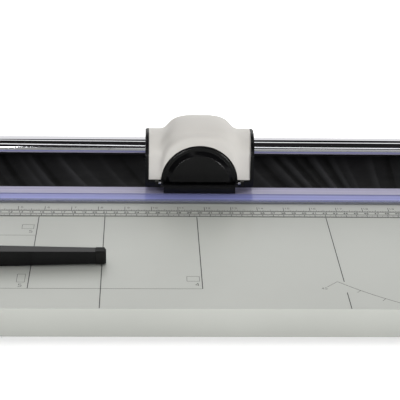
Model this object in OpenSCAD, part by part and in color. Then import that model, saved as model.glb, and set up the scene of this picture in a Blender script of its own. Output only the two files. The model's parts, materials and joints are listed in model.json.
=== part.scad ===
// Bench-top rolling trimmer: a wheel in a sliding head cuts paper against a steel edge.
// Frame: millimetres, +Z up, +X along the cut, -Y towards the user, origin under the middle on the bench.

/* [Table] */
// Width of the table from end to end
table_width = 778; // [720:1:900]
// Depth of the table from the cutting edge to the front
table_depth = 246; // [220:1:330]
// Height of the table top above the bench
table_height = 32; // [31:0.5:50]
// Thickness of the table plate
plate_t = 3; // [2:0.5:5]
// Radius of the two front corners of the plate
plate_corner_r = 6; // [2:0.5:15]
// Width of the flanges of the rails under the plate
rail_flange = 24; // [18:1:40]
// Sheet thickness of the rails
rail_wall = 2; // [1.5:0.25:4]
// Distance of the rails from the edge of the plate
rail_inset = 1; // [0.5:0.5:5]

/* [Feet] */
// Height of a rubber foot
foot_h = 5; // [3:0.5:8]
// Diameter of a rubber foot
foot_d = 20; // [14:1:24]
// Distance of the front feet from the ends of the table
foot_end_gap = 60; // [40:1:120]

/* [Cutting edge] */
// Width of the lower knife
knife_w = 12; // [8:0.5:20]
// Thickness of the lower knife
knife_t = 3; // [2:0.5:5]
// Depth of the beam that carries the knife
beam_d = 31.5; // [30:0.5:50]
// Wall of the beam
beam_wall = 4; // [3:0.5:6]
// Distance of the beam behind the cutting edge
beam_setback = 1.5; // [1:0.25:4]
// Number of screws that hold the knife
knife_screw_count = 6; // [4:1:10]
// Distance of the end screws from the ends of the knife
knife_screw_inset = 40; // [20:1:80]

/* [Scale] */
// Distance of the ends of the printed scale from the ends of the table
scale_end_gap = 84; // [80:0.5:140]
// Depth of the scale strip
scale_d = 29.9; // [18:0.1:35]
// Thickness of the scale strip
scale_t = 0.4; // [0.2:0.1:1]
// Length of the strip past the end of the scale
scale_tail = 25; // [5:1:30]

/* [Guide tube] */
// Diameter of the tube
tube_d = 18; // [14:0.5:24]
// Wall of the tube
tube_wall = 3; // [2:0.25:5]
// Distance of the tube axis behind the cutting edge
tube_y = 16; // [14:0.5:22]
// Height of the tube axis above the table
tube_z = 40.7; // [38:0.1:48]
// Width of the keyway under the tube
keyway_w = 4; // [3:0.5:6]
// Depth of the keyway
keyway_depth = 1.8; // [1:0.1:2.2]

/* [End brackets] */
// Thickness of an end bracket
bracket_t = 28; // [20:1:40]
// Radius of the tower round the tube
tower_r = 24; // [20:0.5:30]
// Radius of the rear end of a bracket
rear_r = 14; // [12:0.5:16]
// Reach of the brackets behind the cutting edge
rear_reach = 150; // [120:1:200]
// Length of the toe in front of the cutting edge
toe_len = 66; // [50:1:90]
// Radius of the tip of the toe
toe_r = 7; // [5:0.5:10]
// Depth of the step round the outer face
bracket_step = 1.6; // [0.5:0.1:3]
// Depth of the thread for a bracket screw
bracket_thread = 10; // [8:1:14]
// Diameter of a tube end cap
cap_d = 26; // [22:0.5:36]
// Depth of the recess for a tube end cap
cap_recess = 2; // [1:0.25:4]
// Height of an end cap above the bracket
cap_proud = 1; // [0.5:0.25:3]

/* [Catch cloth] */
// Thickness of the cloth
cloth_t = 1.4; // [1:0.1:2]
// Height of the fold of the cloth
cloth_fold = 2.4; // [0:0.1:3]
// Distance between two folds along the cut
cloth_fold_pitch = 116; // [80:1:200]
// Sideways run of a fold over each unit of depth
cloth_fold_skew = 0.37; // [0:0.01:1]
// Depth of the hang of the cloth below its front edge
cloth_sag = 13.5; // [8:0.5:14]
// Diameter of the rod at the rear
rod_d = 8; // [5:0.5:10]
// Height of the rod above the middle of the bracket end
rod_rise = 3; // [0:0.5:4]
// Distance of the cloth from the brackets
cloth_end_gap = 6; // [2:0.5:20]
// Height of the batten that clamps the cloth
batten_h = 10; // [9:0.5:14]
// Thickness of the batten
batten_t = 3.5; // [2.5:0.25:4]
// Distance of the batten below the table top
batten_drop = 5; // [4:0.5:6]
// Number of screws in the batten
batten_screw_count = 5; // [3:1:8]
// Distance of the end screws from the ends of the batten
batten_screw_inset = 30; // [15:1:60]

/* [Paper clamp] */
// Depth of the clear strip
strip_d = 32.3; // [28:0.1:42]
// Thickness of the clear strip
strip_t = 2; // [1.5:0.1:3]
// Gap for paper under the strip
paper_gap = 2; // [1:0.1:3]
// Distance of the strip from the cutting edge
strip_setback = 1.2; // [0.8:0.1:3]
// Depth of the raised lane that the foot runs on
lane_d = 16.6; // [6:0.2:20]
// Height of the step down from that lane
lane_step = 0.4; // [0.2:0.05:0.8]
// Length of a clamp end block along the cut
block_len = 15.5; // [14:0.5:20]
// Depth of a clamp end block
block_d = 16; // [15:0.5:17]
// Height of a clamp end block above the strip
block_h = 6.4; // [5:0.2:9]
// Diameter of a guide pin of the clamp
pin_d = 3; // [2:0.25:4]
// Distance between the two pins of a block
pin_pitch = 8; // [6.5:0.5:9]
// Wire of a clamp spring
clamp_wire = 0.6; // [0.4:0.05:0.8]
// Free turns of a clamp spring
clamp_turns = 3; // [2:0.5:3]

/* [Side lay and stop] */
// Width of the side lay
lay_w = 12; // [9:0.5:20]
// Height of the side lay
lay_h = 9; // [7:0.5:14]
// Distance of the rear end of the side lay from the cutting edge
lay_start = 66; // [64:1:90]
// Distance of the side lay from the front edge
lay_front_gap = 6; // [3:0.5:20]
// Distance of the end screws from the ends of the side lay
lay_screw_inset = 14; // [8:0.5:30]
// Distance of the stop face from the cutting edge
stop_at = 157; // [120:1:190]
// Length of the stop arm from the side lay to its tip
arm_reach = 213.6; // [120:0.1:300]
// Depth of the stop arm at its tip
arm_d = 9; // [7:0.5:14]
// Height of the top of the stop arm above the table at its tip
arm_top = 13; // [11.5:0.5:18]
// Growth of the arm's depth from its tip to its root
arm_flare = 8; // [0:0.5:10]
// Growth of the arm's height from its tip to its root
arm_rise = 3.8; // [0:0.1:4]
// Rise of the underside of the arm at its tip
arm_taper = 1.2; // [0:0.1:3]
// Length of the rubber cap on the tip
tip_len = 9; // [6:0.5:16]
// Length of the carriage along the side lay
carriage_len = 34; // [26:1:60]
// Wall of the carriage beside the side lay
carriage_wall = 6; // [5:0.5:9]
// Thickness of the carriage above the side lay
carriage_top = 7.7; // [5:0.1:12]
// Diameter of the clamp knob
knob_d = 22; // [18:1:30]
// Height of the clamp knob
knob_h = 14; // [10:0.5:20]
// Diameter of the clamp stud
stud_d = 6; // [4:0.5:8]

/* [Head] */
// Place of the head along the cut, from the middle
head_x = -4; // [-300:1:300]
// Width of the head over its cheeks
head_w = 106; // [96:1:130]
// Thickness of a cheek
cheek_t = 3.4; // [2.4:0.2:6]
// Distance of the front of the head from the cutting edge
head_front = 10; // [9:0.5:12]
// Distance of the rear of the head behind the cutting edge
head_rear = 36; // [36:0.5:48]
// Height of the shoulders above the table
head_top = 58.35; // [58.35:0.05:66]
// Radius of the shoulders seen from the side
shoulder_r = 20; // [14:0.5:20]
// Height of the underside of the head above the table
base_bottom = 8; // [7:0.25:9]
// Height of the lower edge of the shell
base_top = 15.5; // [14.5:0.25:16]
// Wall of the shell
shell_wall = 2.2; // [1.4:0.1:2.2]
// Wall of a slide bush
bush_wall = 4; // [2:0.25:4]
// Wall of the bearing block round a bush
block_wall = 2; // [1.5:0.25:2.25]
// Length of a slide bush
bush_len = 18.7; // [12:0.1:19]
// Thickness of a felt wiper
felt_t = 1.2; // [0.8:0.1:2]

/* [Bell of the shell] */
// Height of the axis of the bell above the table
bell_z = 13.5; // [13:0.1:14]
// Radius at which the bell starts to round over
bell_core_r = 36.9; // [36.5:0.1:38]
// Radial height of the rounding of the bell
bell_rise = 21.3; // [20:0.1:26]
// Reach of the bell in front of the cutting edge
bell_front = 9; // [8.6:0.1:9.4]

/* [Cutting wheel] */
// Diameter of the cutting wheel
wheel_d = 48; // [44:0.5:50]
// Thickness of the cutting wheel
wheel_t = 1.5; // [0.8:0.1:2]
// Depth of the wheel below the table top
wheel_dip = 2.5; // [1:0.1:3]
// Gap between the wheel and the lower knife
shear_gap = 0.1; // [0.05:0.05:0.3]
// Diameter of the axle
axle_d = 8; // [6:0.5:9]
// Diameter of the hub flange
hub_d = 20; // [17:0.5:20]
// Thickness of the hub flange
hub_flange_t = 2.4; // [1.5:0.1:3]
// Length of the wheel spring
blade_spring_len = 5; // [4.6:0.1:6]
// Wire of the wheel spring
blade_wire = 1; // [0.6:0.05:1]
// Width of the web that holds the axle
web_w = 22; // [18:1:30]
// Depth of the web that holds the axle
web_d = 17; // [12:0.5:18]

/* [Wheel cover] */
// Radius of the cover
cover_r = 37; // [36.8:0.05:37.1]
// Gap between the cover and the shell
cover_gap = 0.6; // [0.5:0.05:0.8]
// Distance of the rear rim of the cover from the cutting edge
cover_back = 8; // [7.8:0.1:8.4]
// Distance of the front of the cover from the cutting edge
cover_front = 13.5; // [13:0.1:14.5]
// Wall of the cover
cover_wall = 1.6; // [1.2:0.1:1.8]
// Radius of the raised disc on the cover
cover_disc_r = 29; // [24:0.5:30]
// Height of the rim above its rear edge
cover_rim_h = 2.4; // [2:0.1:2.6]
// Diameter of a hinge pin
hinge_pin_d = 2.2; // [1.6:0.1:2.6]
// Radius of a hinge ear
hinge_ear_r = 2.4; // [2.2:0.1:2.8]

/* [Presser foot] */
// Width of the presser foot
foot_w = 70; // [60:1:74]
// Distance of the front of the foot from the cutting edge
shoe_front = 18; // [16.5:0.5:20]
// Height of the top of the foot above the table
shoe_top = 13; // [12:0.1:13]
// Length of the skids behind the cutting edge
skid_len = 20; // [10:1:30]
// Width of a skid
skid_w = 7.4; // [7:0.2:8]

/* [Clearances] */
// Gap between pieces that slide past each other
slide_gap = 0.3; // [0.2:0.05:0.5]
// Radial gap of a running fit
run_fit = 0.05; // [0.02:0.01:0.1]
// Gap between parts that are set side by side
joint_gap = 0.2; // [0.1:0.05:0.5]
// Gap between the head and the end brackets at the end of its travel
end_clear = 2; // [1:0.5:10]

/* [Hidden] */
$fn = 96;
eps = 0.01;
cut_through = 1;

steel = [0.62, 0.64, 0.66];
chrome = [0.85, 0.86, 0.88];
paint = [0.73, 0.74, 0.71];
black = [0.10, 0.10, 0.11];
white = [0.88, 0.87, 0.85];
rubber = [0.06, 0.06, 0.06];
violet = [0.55, 0.56, 0.80];
brass = [0.72, 0.58, 0.30];
felt = [0.45, 0.43, 0.40];

half_w = table_width / 2;
cut_y = (table_depth - rear_reach) / 2;
rail_h = table_height - plate_t - foot_h;
frame_low = foot_h - table_height;
rail_half = half_w - rail_inset - rail_flange;
plate_rear = -knife_w - joint_gap;
beam_front = -beam_setback - beam_d;
bracket_in = half_w - bracket_t;
bracket_mid = half_w - bracket_t / 2;
knife_half = bracket_in - cut_through;
scale_len = table_width - 2 * scale_end_gap;
scale_zero = -scale_len / 2;
scale_front = strip_setback + strip_d + joint_gap + scale_d;

tube_r = tube_d / 2;
tube_end = half_w - cap_recess;
tube_low = tube_z - tube_r;
rear_y = rear_reach - rear_r;
rear_z = frame_low + rear_r;
rod_z = rear_z + rod_rise;
toe_y = -toe_len + toe_r;

m5_d = 5;
m5_head_d = 8.5;
m5_head_h = 5;
m4_d = 4;
m4_head_d = 7;
m4_head_h = 3;
m3_d = 3;
m3_head_d = 5.6;
m3_head_h = 1.7;
bracket_screw_ys = [-beam_setback - beam_d * 0.6, -toe_len + 2 * toe_r];

strip_low = paper_gap;
strip_top = strip_low + strip_t;
strip_front = strip_setback + strip_d;
strip_deck = strip_top - lane_step;
block_out = bracket_in - end_clear;
block_in = block_out - block_len;
strip_half = block_in + block_len * 0.45;
block_front = strip_front - 2 * lane_step;
block_top = strip_deck + block_h;
pin_x = (strip_half + joint_gap + block_out) / 2;
pin_mid = block_front - block_d / 2;
pin_ds = [pin_mid - pin_pitch / 2, pin_mid + pin_pitch / 2];
pin_head_d = pin_d * 1.6;
pin_head_h = 1.2;
pin_spring_gap = 0.4;
clamp_spring_r = pin_d / 2 + pin_spring_gap + clamp_wire / 2;
spring_pocket_r = clamp_spring_r + clamp_wire / 2 + joint_gap;
clamp_spring_h = strip_low + block_h * 0.62;
rivet_d = 2.4;
rivet_head_d = 4;
rivet_head_h = 1;
rivet_x = (block_in + strip_half) / 2;

lay_in = scale_zero;
lay_mid = lay_in - lay_w / 2;
lay_front = table_depth - lay_front_gap;
lay_screw_ds = [lay_start + lay_screw_inset, (lay_start + lay_front) / 2, lay_front - lay_screw_inset];
arm_mid = stop_at + arm_d / 2;
arm_low = slide_gap + joint_gap / 2;
carriage_low = slide_gap + joint_gap;
carriage_in = lay_h + slide_gap;
carriage_high = carriage_in + carriage_top;
leg_in = lay_in + slide_gap;
leg_out = lay_in - lay_w - slide_gap;
arm_root = leg_in + carriage_wall;
arm_tip = lay_in + arm_reach;
spigot_inset = 2;
spigot_len = tip_len * 2 / 3;
tip_over = 0.4;
tip_round = 1.6;
arm_screw_inset = 3.4;
arm_screw_zs = [arm_low + arm_screw_inset, arm_top - arm_screw_inset];
knob_low = carriage_high + slide_gap;

head_half = head_w / 2;
shell_half = head_half - cheek_t;
shoulder_z = head_top - shoulder_r;
bush_r = tube_r + bush_wall;
bearing_r = bush_r + block_wall;
bearing_out = shell_half - joint_gap;
felt_in = bearing_out - felt_t;
bush_in = felt_in - joint_gap - bush_len;
bush_stop = 1.5;
bearing_in = bush_in - bush_stop;
bell_mid = -tube_y;
bell_a_front = bell_front - bell_mid;
bell_a_rear = head_rear - tube_y;
opening_r = cover_r + cover_gap;

wheel_r = wheel_d / 2;
axle_z = wheel_r - wheel_dip;
wheel_front = shear_gap;
wheel_back = wheel_front + wheel_t;
hub_back = wheel_back + hub_flange_t;
hub_wall = 2;
hub_sleeve_d = axle_d + 2 * hub_wall;
web_front = hub_back + blade_spring_len;
web_back = web_front + web_d;
web_clear = 1.8;
web_top = tube_low - web_clear;
washer_t = 1.2;
washer_d = 15;
axle_head_d = 10;
axle_head_h = 3;
nut_d = 13;
nut_h = 4;
axle_spring_gap = 0.6;
blade_spring_r = axle_d / 2 + axle_spring_gap + blade_wire / 2;
slot_side_gap = 3;
slot_half = wheel_r + slot_side_gap;
slot_front_gap = 1;
slot_front = washer_t + shear_gap + joint_gap + slot_front_gap;

hinge_inset = 0.5;
hinge_y = hinge_inset - cover_front;
hinge_z = bell_z;
ear_gap = 0.4;
ear_in = foot_w / 2 + ear_gap;
ear_out = cover_r + cover_gap;
pin_bare = 2.4;
lug_in = ear_out + pin_bare;
lug_w = 3.5;
lug_out = lug_in + lug_w;
lug_wall = 2.2;
notch_half = ear_out + ear_gap;
shoe_low = strip_top + slide_gap;
shoe_half = foot_w / 2;
shoe_back = slot_front + joint_gap;
shoe_screw_inset = 7;
shoe_screw_y = skid_len - shoe_screw_inset;
shoe_recess = 2;
shoe_thread = 6;

// Places: most pieces are drawn from the cutting edge, at the height of the table top, with -Y to the front.
module at_cut() {
  translate([0, cut_y, table_height]) children();
}

module at_head() {
  at_cut() translate([head_x, 0, 0]) children();
}

// Extrudes an outline drawn in (y, z) along X.
module along_x(start, length) {
  translate([start, 0, 0]) rotate([90, 0, 90]) linear_extrude(length) children();
}

// A round bar along X or Y through a point.
module bar_x(start, length, y, z, r) {
  translate([start, y, z]) rotate([0, 90, 0]) cylinder(h = length, r = r);
}

module bar_y(start, length, x, z, r) {
  translate([x, start, z]) rotate([-90, 0, 0]) cylinder(h = length, r = r);
}

// Points on a circle, and along an arc of it.
function polar(centre, r, a) = centre + r * [cos(a), sin(a)];

function arc(centre, r, from, to, steps) =
  [for (i = [0:steps]) polar(centre, r, from + (to - from) * i / steps)];

// Direction of the normal of the line that touches two circles, left (side = 1) or right (-1) of p to q.
function tangent_angle(p, pr, q, qr, side) = let (gap = q - p)
  atan2(gap[1], gap[0]) + side * acos((pr - qr) / norm(gap));

// Screws point along -Z with the underside of the head, or the rim of a flat head, at the origin.
module cap_screw(d, len, head_d, head_h) {
  difference() {
    union() {
      cylinder(h = head_h, d = head_d);
      translate([0, 0, -len]) cylinder(h = len, d = d);
    }
    translate([0, 0, head_h * 0.4]) cylinder(h = head_h, d = head_d * 0.55, $fn = 6);
  }
}

module flat_screw(d, len, head_d, head_h) {
  difference() {
    union() {
      translate([0, 0, -head_h]) cylinder(h = head_h, d1 = d, d2 = head_d);
      translate([0, 0, -len]) cylinder(h = len, d = d);
    }
    translate([0, 0, -head_h * 0.7]) cylinder(h = head_h, d = head_d * 0.45, $fn = 6);
  }
}

module flat_hole(d, len, head_d, head_h) {
  translate([0, 0, -head_h]) cylinder(h = head_h, d1 = d, d2 = head_d);
  translate([0, 0, -len]) cylinder(h = len, d = d);
}

// A coil spring as one unbroken tube of six sides, with eight rings a turn and straight ends.
coil_sides = 6;
coil_steps = 8;

function coil_angle(i, turns) = 360 * turns * i / round(coil_steps * turns);

function coil_path(r, h, wire, turns) = let (n = round(coil_steps * turns), run = h - 2 * wire) concat(
  [[r, 0, 0]],
  [for (i = [0:n]) let (a = coil_angle(i, turns)) [r * cos(a), r * sin(a), wire + run * i / n]],
  [[r * cos(360 * turns), r * sin(360 * turns), h]]
);

function unit(v) = v / norm(v);

function coil_ring(path, k, wire) = let (
    last = len(path) - 1,
    p = path[k],
    t = k == 0 || k == last ? [0, 0, 1] : unit(path[k + 1] - path[k - 1]),
    out = unit([p[0], p[1], 0]),
    side = cross(t, out)
  ) [for (j = [0:coil_sides - 1]) let (a = 360 * j / coil_sides)
    p + wire / 2 * (cos(a) * out + sin(a) * side)];

module tube_mesh(rings) {
  sides = len(rings[0]);
  last = len(rings) - 1;
  points = [for (ring = rings) each ring];
  wall = [for (k = [0:last - 1], j = [0:sides - 1]) let (a = k * sides + j, b = k * sides + (j + 1) % sides)
    each [[a, b + sides, b], [a, a + sides, b + sides]]];
  far = last * sides;
  ends = [for (j = [1:sides - 2]) each [[0, j, j + 1], [far, far + j + 1, far + j]]];
  polyhedron(points, concat(wall, ends));
}

module coil_spring(r, h, wire, turns) {
  path = coil_path(r, h, wire, turns);
  tube_mesh([for (k = [0:len(path) - 1]) coil_ring(path, k, wire)]);
}

// Least gap of a spring to itself, measured between points of its centre line half a turn or more apart.
function coil_gap(r, h, wire, turns) = let (path = coil_path(r, h, wire, turns), n = len(path))
  min([for (i = [0:n - 1], j = [0:n - 1]) if (j - i >= coil_steps / 2) norm(path[j] - path[i])]) - wire;

echo(clamp_spring_gap = coil_gap(clamp_spring_r, clamp_spring_h, clamp_wire, clamp_turns));
echo(blade_spring_gap = coil_gap(blade_spring_r, blade_spring_len, blade_wire, 1));

// Table and frame
module plate_outline() {
  r = plate_corner_r;
  translate([-half_w, r - table_depth]) square([table_width, table_depth - r + plate_rear]);
  translate([r - half_w, -table_depth]) square([table_width - 2 * r, r]);
  for (s = [-1, 1]) {
    translate([s * (half_w - r), r - table_depth]) circle(r);
  }
}

module lay_screw_holes() {
  for (d = lay_screw_ds) {
    translate([lay_mid, -d, lay_h]) flat_hole(m4_d, lay_h + plate_t + cut_through, m4_head_d, m4_head_h);
  }
}

module table_plate() color(paint) at_cut() difference() {
  translate([0, 0, -plate_t]) linear_extrude(plate_t) plate_outline();
  for (s = [-1, 1], y = bracket_screw_ys) {
    translate([s * bracket_mid, y, -plate_t - cut_through]) cylinder(h = plate_t + 2 * cut_through, d = m5_d);
  }
  lay_screw_holes();
  for (s = [-1, 1], d = pin_ds) {
    translate([s * pin_x, -d, -plate_t - cut_through]) cylinder(h = plate_t + 2 * cut_through, d = pin_d);
  }
}

// A folded channel, its back at y = 0 and its flanges towards +Y, top at z = 0.
module channel(depth, height, wall) {
  translate([0, -height]) square([wall, height]);
  translate([0, -wall]) square([depth, wall]);
  translate([0, -height]) square([depth, wall]);
}

module front_rail() color(paint) at_cut() translate([0, rail_inset - table_depth, -plate_t]) {
  along_x(-rail_half, 2 * rail_half) channel(rail_flange, rail_h, rail_wall);
}

module corner_caps() color(black) at_cut() for (s = [0, 1]) {
  r = plate_corner_r - rail_inset;
  mirror([s, 0, 0]) translate([rail_half, rail_inset - table_depth, -plate_t - rail_h]) {
    linear_extrude(rail_h) {
      translate([0, r]) square([rail_flange, rail_flange - r]);
      square([rail_flange - r, rail_flange]);
      translate([rail_flange - r, r]) circle(r);
    }
  }
}

module side_rail() {
  start = rail_inset + rail_flange - table_depth;
  difference() {
    translate([rail_inset - half_w, -beam_setback, -plate_t]) rotate([90, 0, 0]) {
      linear_extrude(-beam_setback - start) channel(rail_flange, rail_h, rail_wall);
    }
    for (y = bracket_screw_ys) {
      translate([-bracket_mid, y, -plate_t - rail_wall - cut_through]) {
        cylinder(h = rail_wall + 2 * cut_through, d = m5_d);
      }
    }
  }
}

module left_side_rail() color(paint) at_cut() side_rail();

module right_side_rail() color(paint) at_cut() mirror([1, 0, 0]) side_rail();

function row(count, half) = [for (i = [0:count - 1]) half * (2 * i / (count - 1) - 1)];

knife_screw_xs = row(knife_screw_count, knife_half - knife_screw_inset);
knife_screw_y = -beam_setback - beam_wall - joint_gap - m4_head_d / 2;
batten_half = bracket_in - cloth_end_gap;
batten_screw_xs = row(batten_screw_count, batten_half - batten_screw_inset);
batten_screw_z = -batten_drop - batten_h / 4;
hem_top = -batten_drop - batten_h / 2;
hem_low = -batten_drop - batten_h;

module bed_beam() color(steel) at_cut() difference() {
  along_x(joint_gap - rail_half, 2 * (rail_half - joint_gap)) difference() {
    polygon([[beam_front, frame_low], [-beam_setback, frame_low], [-beam_setback, -knife_t],
             [plate_rear, -knife_t], [plate_rear, -plate_t], [beam_front, -plate_t]]);
    low = max(knife_t, plate_t) + beam_wall;
    translate([beam_front - cut_through, frame_low + beam_wall]) {
      square([beam_d - beam_wall + cut_through, -low - frame_low - beam_wall]);
    }
  }
  for (x = knife_screw_xs) {
    translate([x, knife_screw_y, -knife_t - 2 * beam_wall]) cylinder(h = 3 * beam_wall, d = m4_d);
  }
  for (x = batten_screw_xs) {
    bar_y(-beam_setback - beam_wall - cut_through, beam_wall + 2 * cut_through, x, batten_screw_z, m3_d / 2);
  }
}

module bed_knife() color(steel) at_cut() difference() {
  along_x(-knife_half, 2 * knife_half) {
    polygon([[-knife_w, -knife_t], [-knife_t / 5, -knife_t], [0, -knife_t / 2], [0, 0], [-knife_w, 0]]);
  }
  for (x = knife_screw_xs) {
    translate([x, knife_screw_y, -knife_t - cut_through]) cylinder(h = knife_t * 0.6 + cut_through, d = m4_d);
  }
}

module knife_screws() color(steel) at_cut() {
  grip = max(knife_t, plate_t) + beam_wall;
  for (x = knife_screw_xs) {
    translate([x, knife_screw_y, -grip]) rotate([180, 0, 0]) {
      cap_screw(m4_d, grip - knife_t * 0.4, m4_head_d, m4_head_h);
    }
  }
}

module scale_strip() color(chrome) at_cut() {
  translate([scale_zero, -scale_front, 0]) cube([scale_len + scale_tail, scale_d, scale_t]);
}

// End brackets: the tower round the tube, the arm to the rear and the toe on the table.
module bracket_outline(inset) {
  tower = [tube_y, tube_z];
  rear = [rear_y, rear_z];
  toe = [toe_y, toe_r];
  back = inset - beam_setback;
  rear_a = tangent_angle(tower, tower_r, rear, rear_r, 1);
  toe_a = tangent_angle(tower, tower_r, toe, toe_r, -1) + 360;
  polygon(concat(
    arc(rear, rear_r - inset, -90, rear_a, 24),
    arc(tower, tower_r - inset, rear_a, toe_a, 16),
    arc(toe, toe_r - inset, toe_a, 270, 20),
    [[back, inset], [back, frame_low + inset]]
  ));
}

module end_bracket() {
  difference() {
    union() {
      along_x(bracket_in, bracket_t - bracket_step) bracket_outline(0);
      along_x(half_w - bracket_step - eps, bracket_step + eps) bracket_outline(bracket_step);
    }
    bar_x(bracket_in - cut_through, bracket_t + 2 * cut_through, tube_y, tube_z, tube_r);
    bar_x(half_w - cap_recess, cap_recess + cut_through, tube_y, tube_z, cap_d / 2 + joint_gap);
    bar_x(bracket_in - cut_through, bracket_t * 0.7 + cut_through, rear_y, rod_z, rod_d / 2);
    translate([bracket_mid, tube_y, tube_z]) cylinder(h = tower_r + cut_through, d = m5_d);
    for (y = bracket_screw_ys) {
      translate([bracket_mid, y, -cut_through]) cylinder(h = bracket_thread + cut_through, d = m5_d);
    }
  }
}

module right_end_bracket() color(black) at_cut() end_bracket();

module left_end_bracket() color(black) at_cut() mirror([1, 0, 0]) end_bracket();

module bracket_screws() color(steel) at_cut() {
  grip = plate_t + rail_wall;
  for (s = [-1, 1], y = bracket_screw_ys) {
    translate([s * bracket_mid, y, -grip]) rotate([180, 0, 0]) {
      cap_screw(m5_d, grip + bracket_thread - 1, m5_head_d, m5_head_h);
    }
  }
}

module guide_tube() color(chrome) at_cut() difference() {
  bar_x(-tube_end, 2 * tube_end, tube_y, tube_z, tube_r);
  bar_x(-tube_end - cut_through, 2 * (tube_end + cut_through), tube_y, tube_z, tube_r - tube_wall);
  translate([-tube_end - cut_through, tube_y - keyway_w / 2, tube_low - cut_through]) {
    cube([2 * (tube_end + cut_through), keyway_w, keyway_depth + cut_through]);
  }
}

cap_plug = 8;

module tube_end_caps() color(black) at_cut() for (s = [-1, 1]) {
  translate([s * tube_end, tube_y, tube_z]) rotate([0, s * 90, 0]) {
    rotate_extrude() {
      polygon([[0, 0], [cap_d / 2, 0], [cap_d / 2, cap_recess],
               [cap_d / 2 - cap_proud, cap_recess + cap_proud], [0, cap_recess + cap_proud]]);
    }
    translate([0, 0, -cap_plug]) cylinder(h = cap_plug, r = tube_r - tube_wall);
  }
}

grub_len = 8;
grub_socket = 3;

module tube_grub_screws() color(steel) at_cut() for (s = [-1, 1]) {
  translate([s * bracket_mid, tube_y, tube_z + tube_r]) difference() {
    cylinder(h = grub_len, d = m5_d);
    translate([0, 0, grub_len - grub_socket]) cylinder(h = grub_len, d = m5_d / 2, $fn = 6);
  }
}

foot_edge = 1;

module rubber_feet() color(rubber) at_cut() {
  front_y = rail_inset + rail_flange / 2 - table_depth;
  spots = [[half_w - foot_end_gap, front_y], [bracket_mid, rear_y - foot_d / 2]];
  for (s = [-1, 1], spot = spots) {
    translate([s * spot[0], spot[1], -table_height]) rotate_extrude() {
      r = foot_d / 2;
      polygon([[0, 0], [r - foot_edge, 0], [r, foot_edge], [r, foot_h], [0, foot_h]]);
    }
  }
}

// Catch cloth: a front hem on the beam, a hanging run with slanting folds and a turn round the rear rod.
cloth_half = batten_half;
cloth_y = -beam_setback + cloth_t / 2;
wrap_r = rod_d / 2 + slide_gap + cloth_t / 2;
cloth_run_steps = 10;
cloth_wrap_steps = 5;
cloth_wrap = 200;
cloth_steps_x = 35;
cloth_in = [cloth_y, hem_low];
cloth_out = [rear_y, rod_z - wrap_r];
cloth_low = -batten_drop - batten_h - cloth_sag;
cloth_lead = 6;
cloth_turn = rear_y * 0.65;

function curve(a, b, c, d, t) =
  pow(1 - t, 3) * a + 3 * pow(1 - t, 2) * t * b + 3 * (1 - t) * t * t * c + t * t * t * d;

cloth_path = concat(
  [[cloth_y, hem_top]],
  [for (i = [0:cloth_run_steps]) let (t = i / cloth_run_steps)
    curve(cloth_in, [cloth_y + cloth_lead, cloth_low], [cloth_turn, cloth_low], cloth_out, t)],
  [for (i = [1:cloth_wrap_steps]) polar([rear_y, rod_z], wrap_r, cloth_wrap * i / cloth_wrap_steps - 90)]
);

function path_normal(k) = let (
    last = len(cloth_path) - 1,
    run = unit(cloth_path[min(k + 1, last)] - cloth_path[max(k - 1, 0)])
  ) [-run[1], run[0]];

function fold_height(x, k) = let (t = (k - 1) / cloth_run_steps)
  t <= 0 || t >= 1 ? 0
  : cloth_fold * sin(180 * t) * sin(360 * (x + cloth_fold_skew * cloth_path[k][0]) / cloth_fold_pitch);

function cloth_point(x, k, side) = let (p = cloth_path[k] + side * cloth_t / 2 * path_normal(k))
  [x, p[0], p[1] + fold_height(x, k)];

module catch_cloth() color(rubber) at_cut() {
  n = len(cloth_path);
  tube_mesh([for (i = [0:cloth_steps_x]) let (x = cloth_half * (2 * i / cloth_steps_x - 1)) concat(
    [for (k = [0:n - 1]) cloth_point(x, k, -1)],
    [for (k = [n - 1:-1:0]) cloth_point(x, k, 1)]
  )]);
}

module cloth_rod() color(steel) at_cut() {
  half = bracket_in + bracket_t * 0.7;
  bar_x(-half, 2 * half, rear_y, rod_z, rod_d / 2);
}

module cloth_batten() color(steel) at_cut() difference() {
  along_x(-batten_half, 2 * batten_half) difference() {
    translate([-beam_setback, hem_low]) square([batten_t, batten_h]);
    translate([-beam_setback - eps, hem_low - eps]) {
      square([cloth_t + joint_gap + eps, hem_top - hem_low + joint_gap + eps]);
    }
  }
  for (x = batten_screw_xs) {
    bar_y(-beam_setback - cut_through, batten_t + 2 * cut_through, x, batten_screw_z, m3_d / 2);
  }
}

module batten_screws() color(steel) at_cut() for (x = batten_screw_xs) {
  translate([x, batten_t - beam_setback, batten_screw_z]) rotate([-90, 0, 0]) {
    cap_screw(m3_d, batten_t + beam_wall, m3_head_d - 1, m3_head_h);
  }
}

// Paper clamp: the clear strip hangs between two blocks that ride on sprung pins.
module clamp_strip() color(violet) at_cut() difference() {
  lane_half = block_in - slide_gap;
  lane_front = -strip_setback - lane_d;
  union() {
    along_x(-strip_half, 2 * strip_half) {
      polygon([[-strip_setback, strip_low], [-strip_setback, strip_deck],
               [-strip_front + 2 * lane_step, strip_deck], [-strip_front, strip_low + strip_t / 3],
               [-strip_front, strip_low]]);
    }
    along_x(-lane_half, 2 * lane_half) {
      polygon([[-strip_setback, strip_deck - lane_step], [-strip_setback, strip_deck],
               [-strip_setback - lane_step, strip_top], [lane_front, strip_top],
               [lane_front - lane_step, strip_deck], [lane_front - lane_step, strip_deck - lane_step]]);
    }
  }
  clamp_rivet_holes();
}

module clamp_rivet_holes() {
  for (s = [-1, 1], d = pin_ds) {
    translate([s * rivet_x, -d, strip_low - cut_through]) {
      cylinder(h = block_top + 2 * cut_through, d = rivet_d);
    }
  }
}

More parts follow.
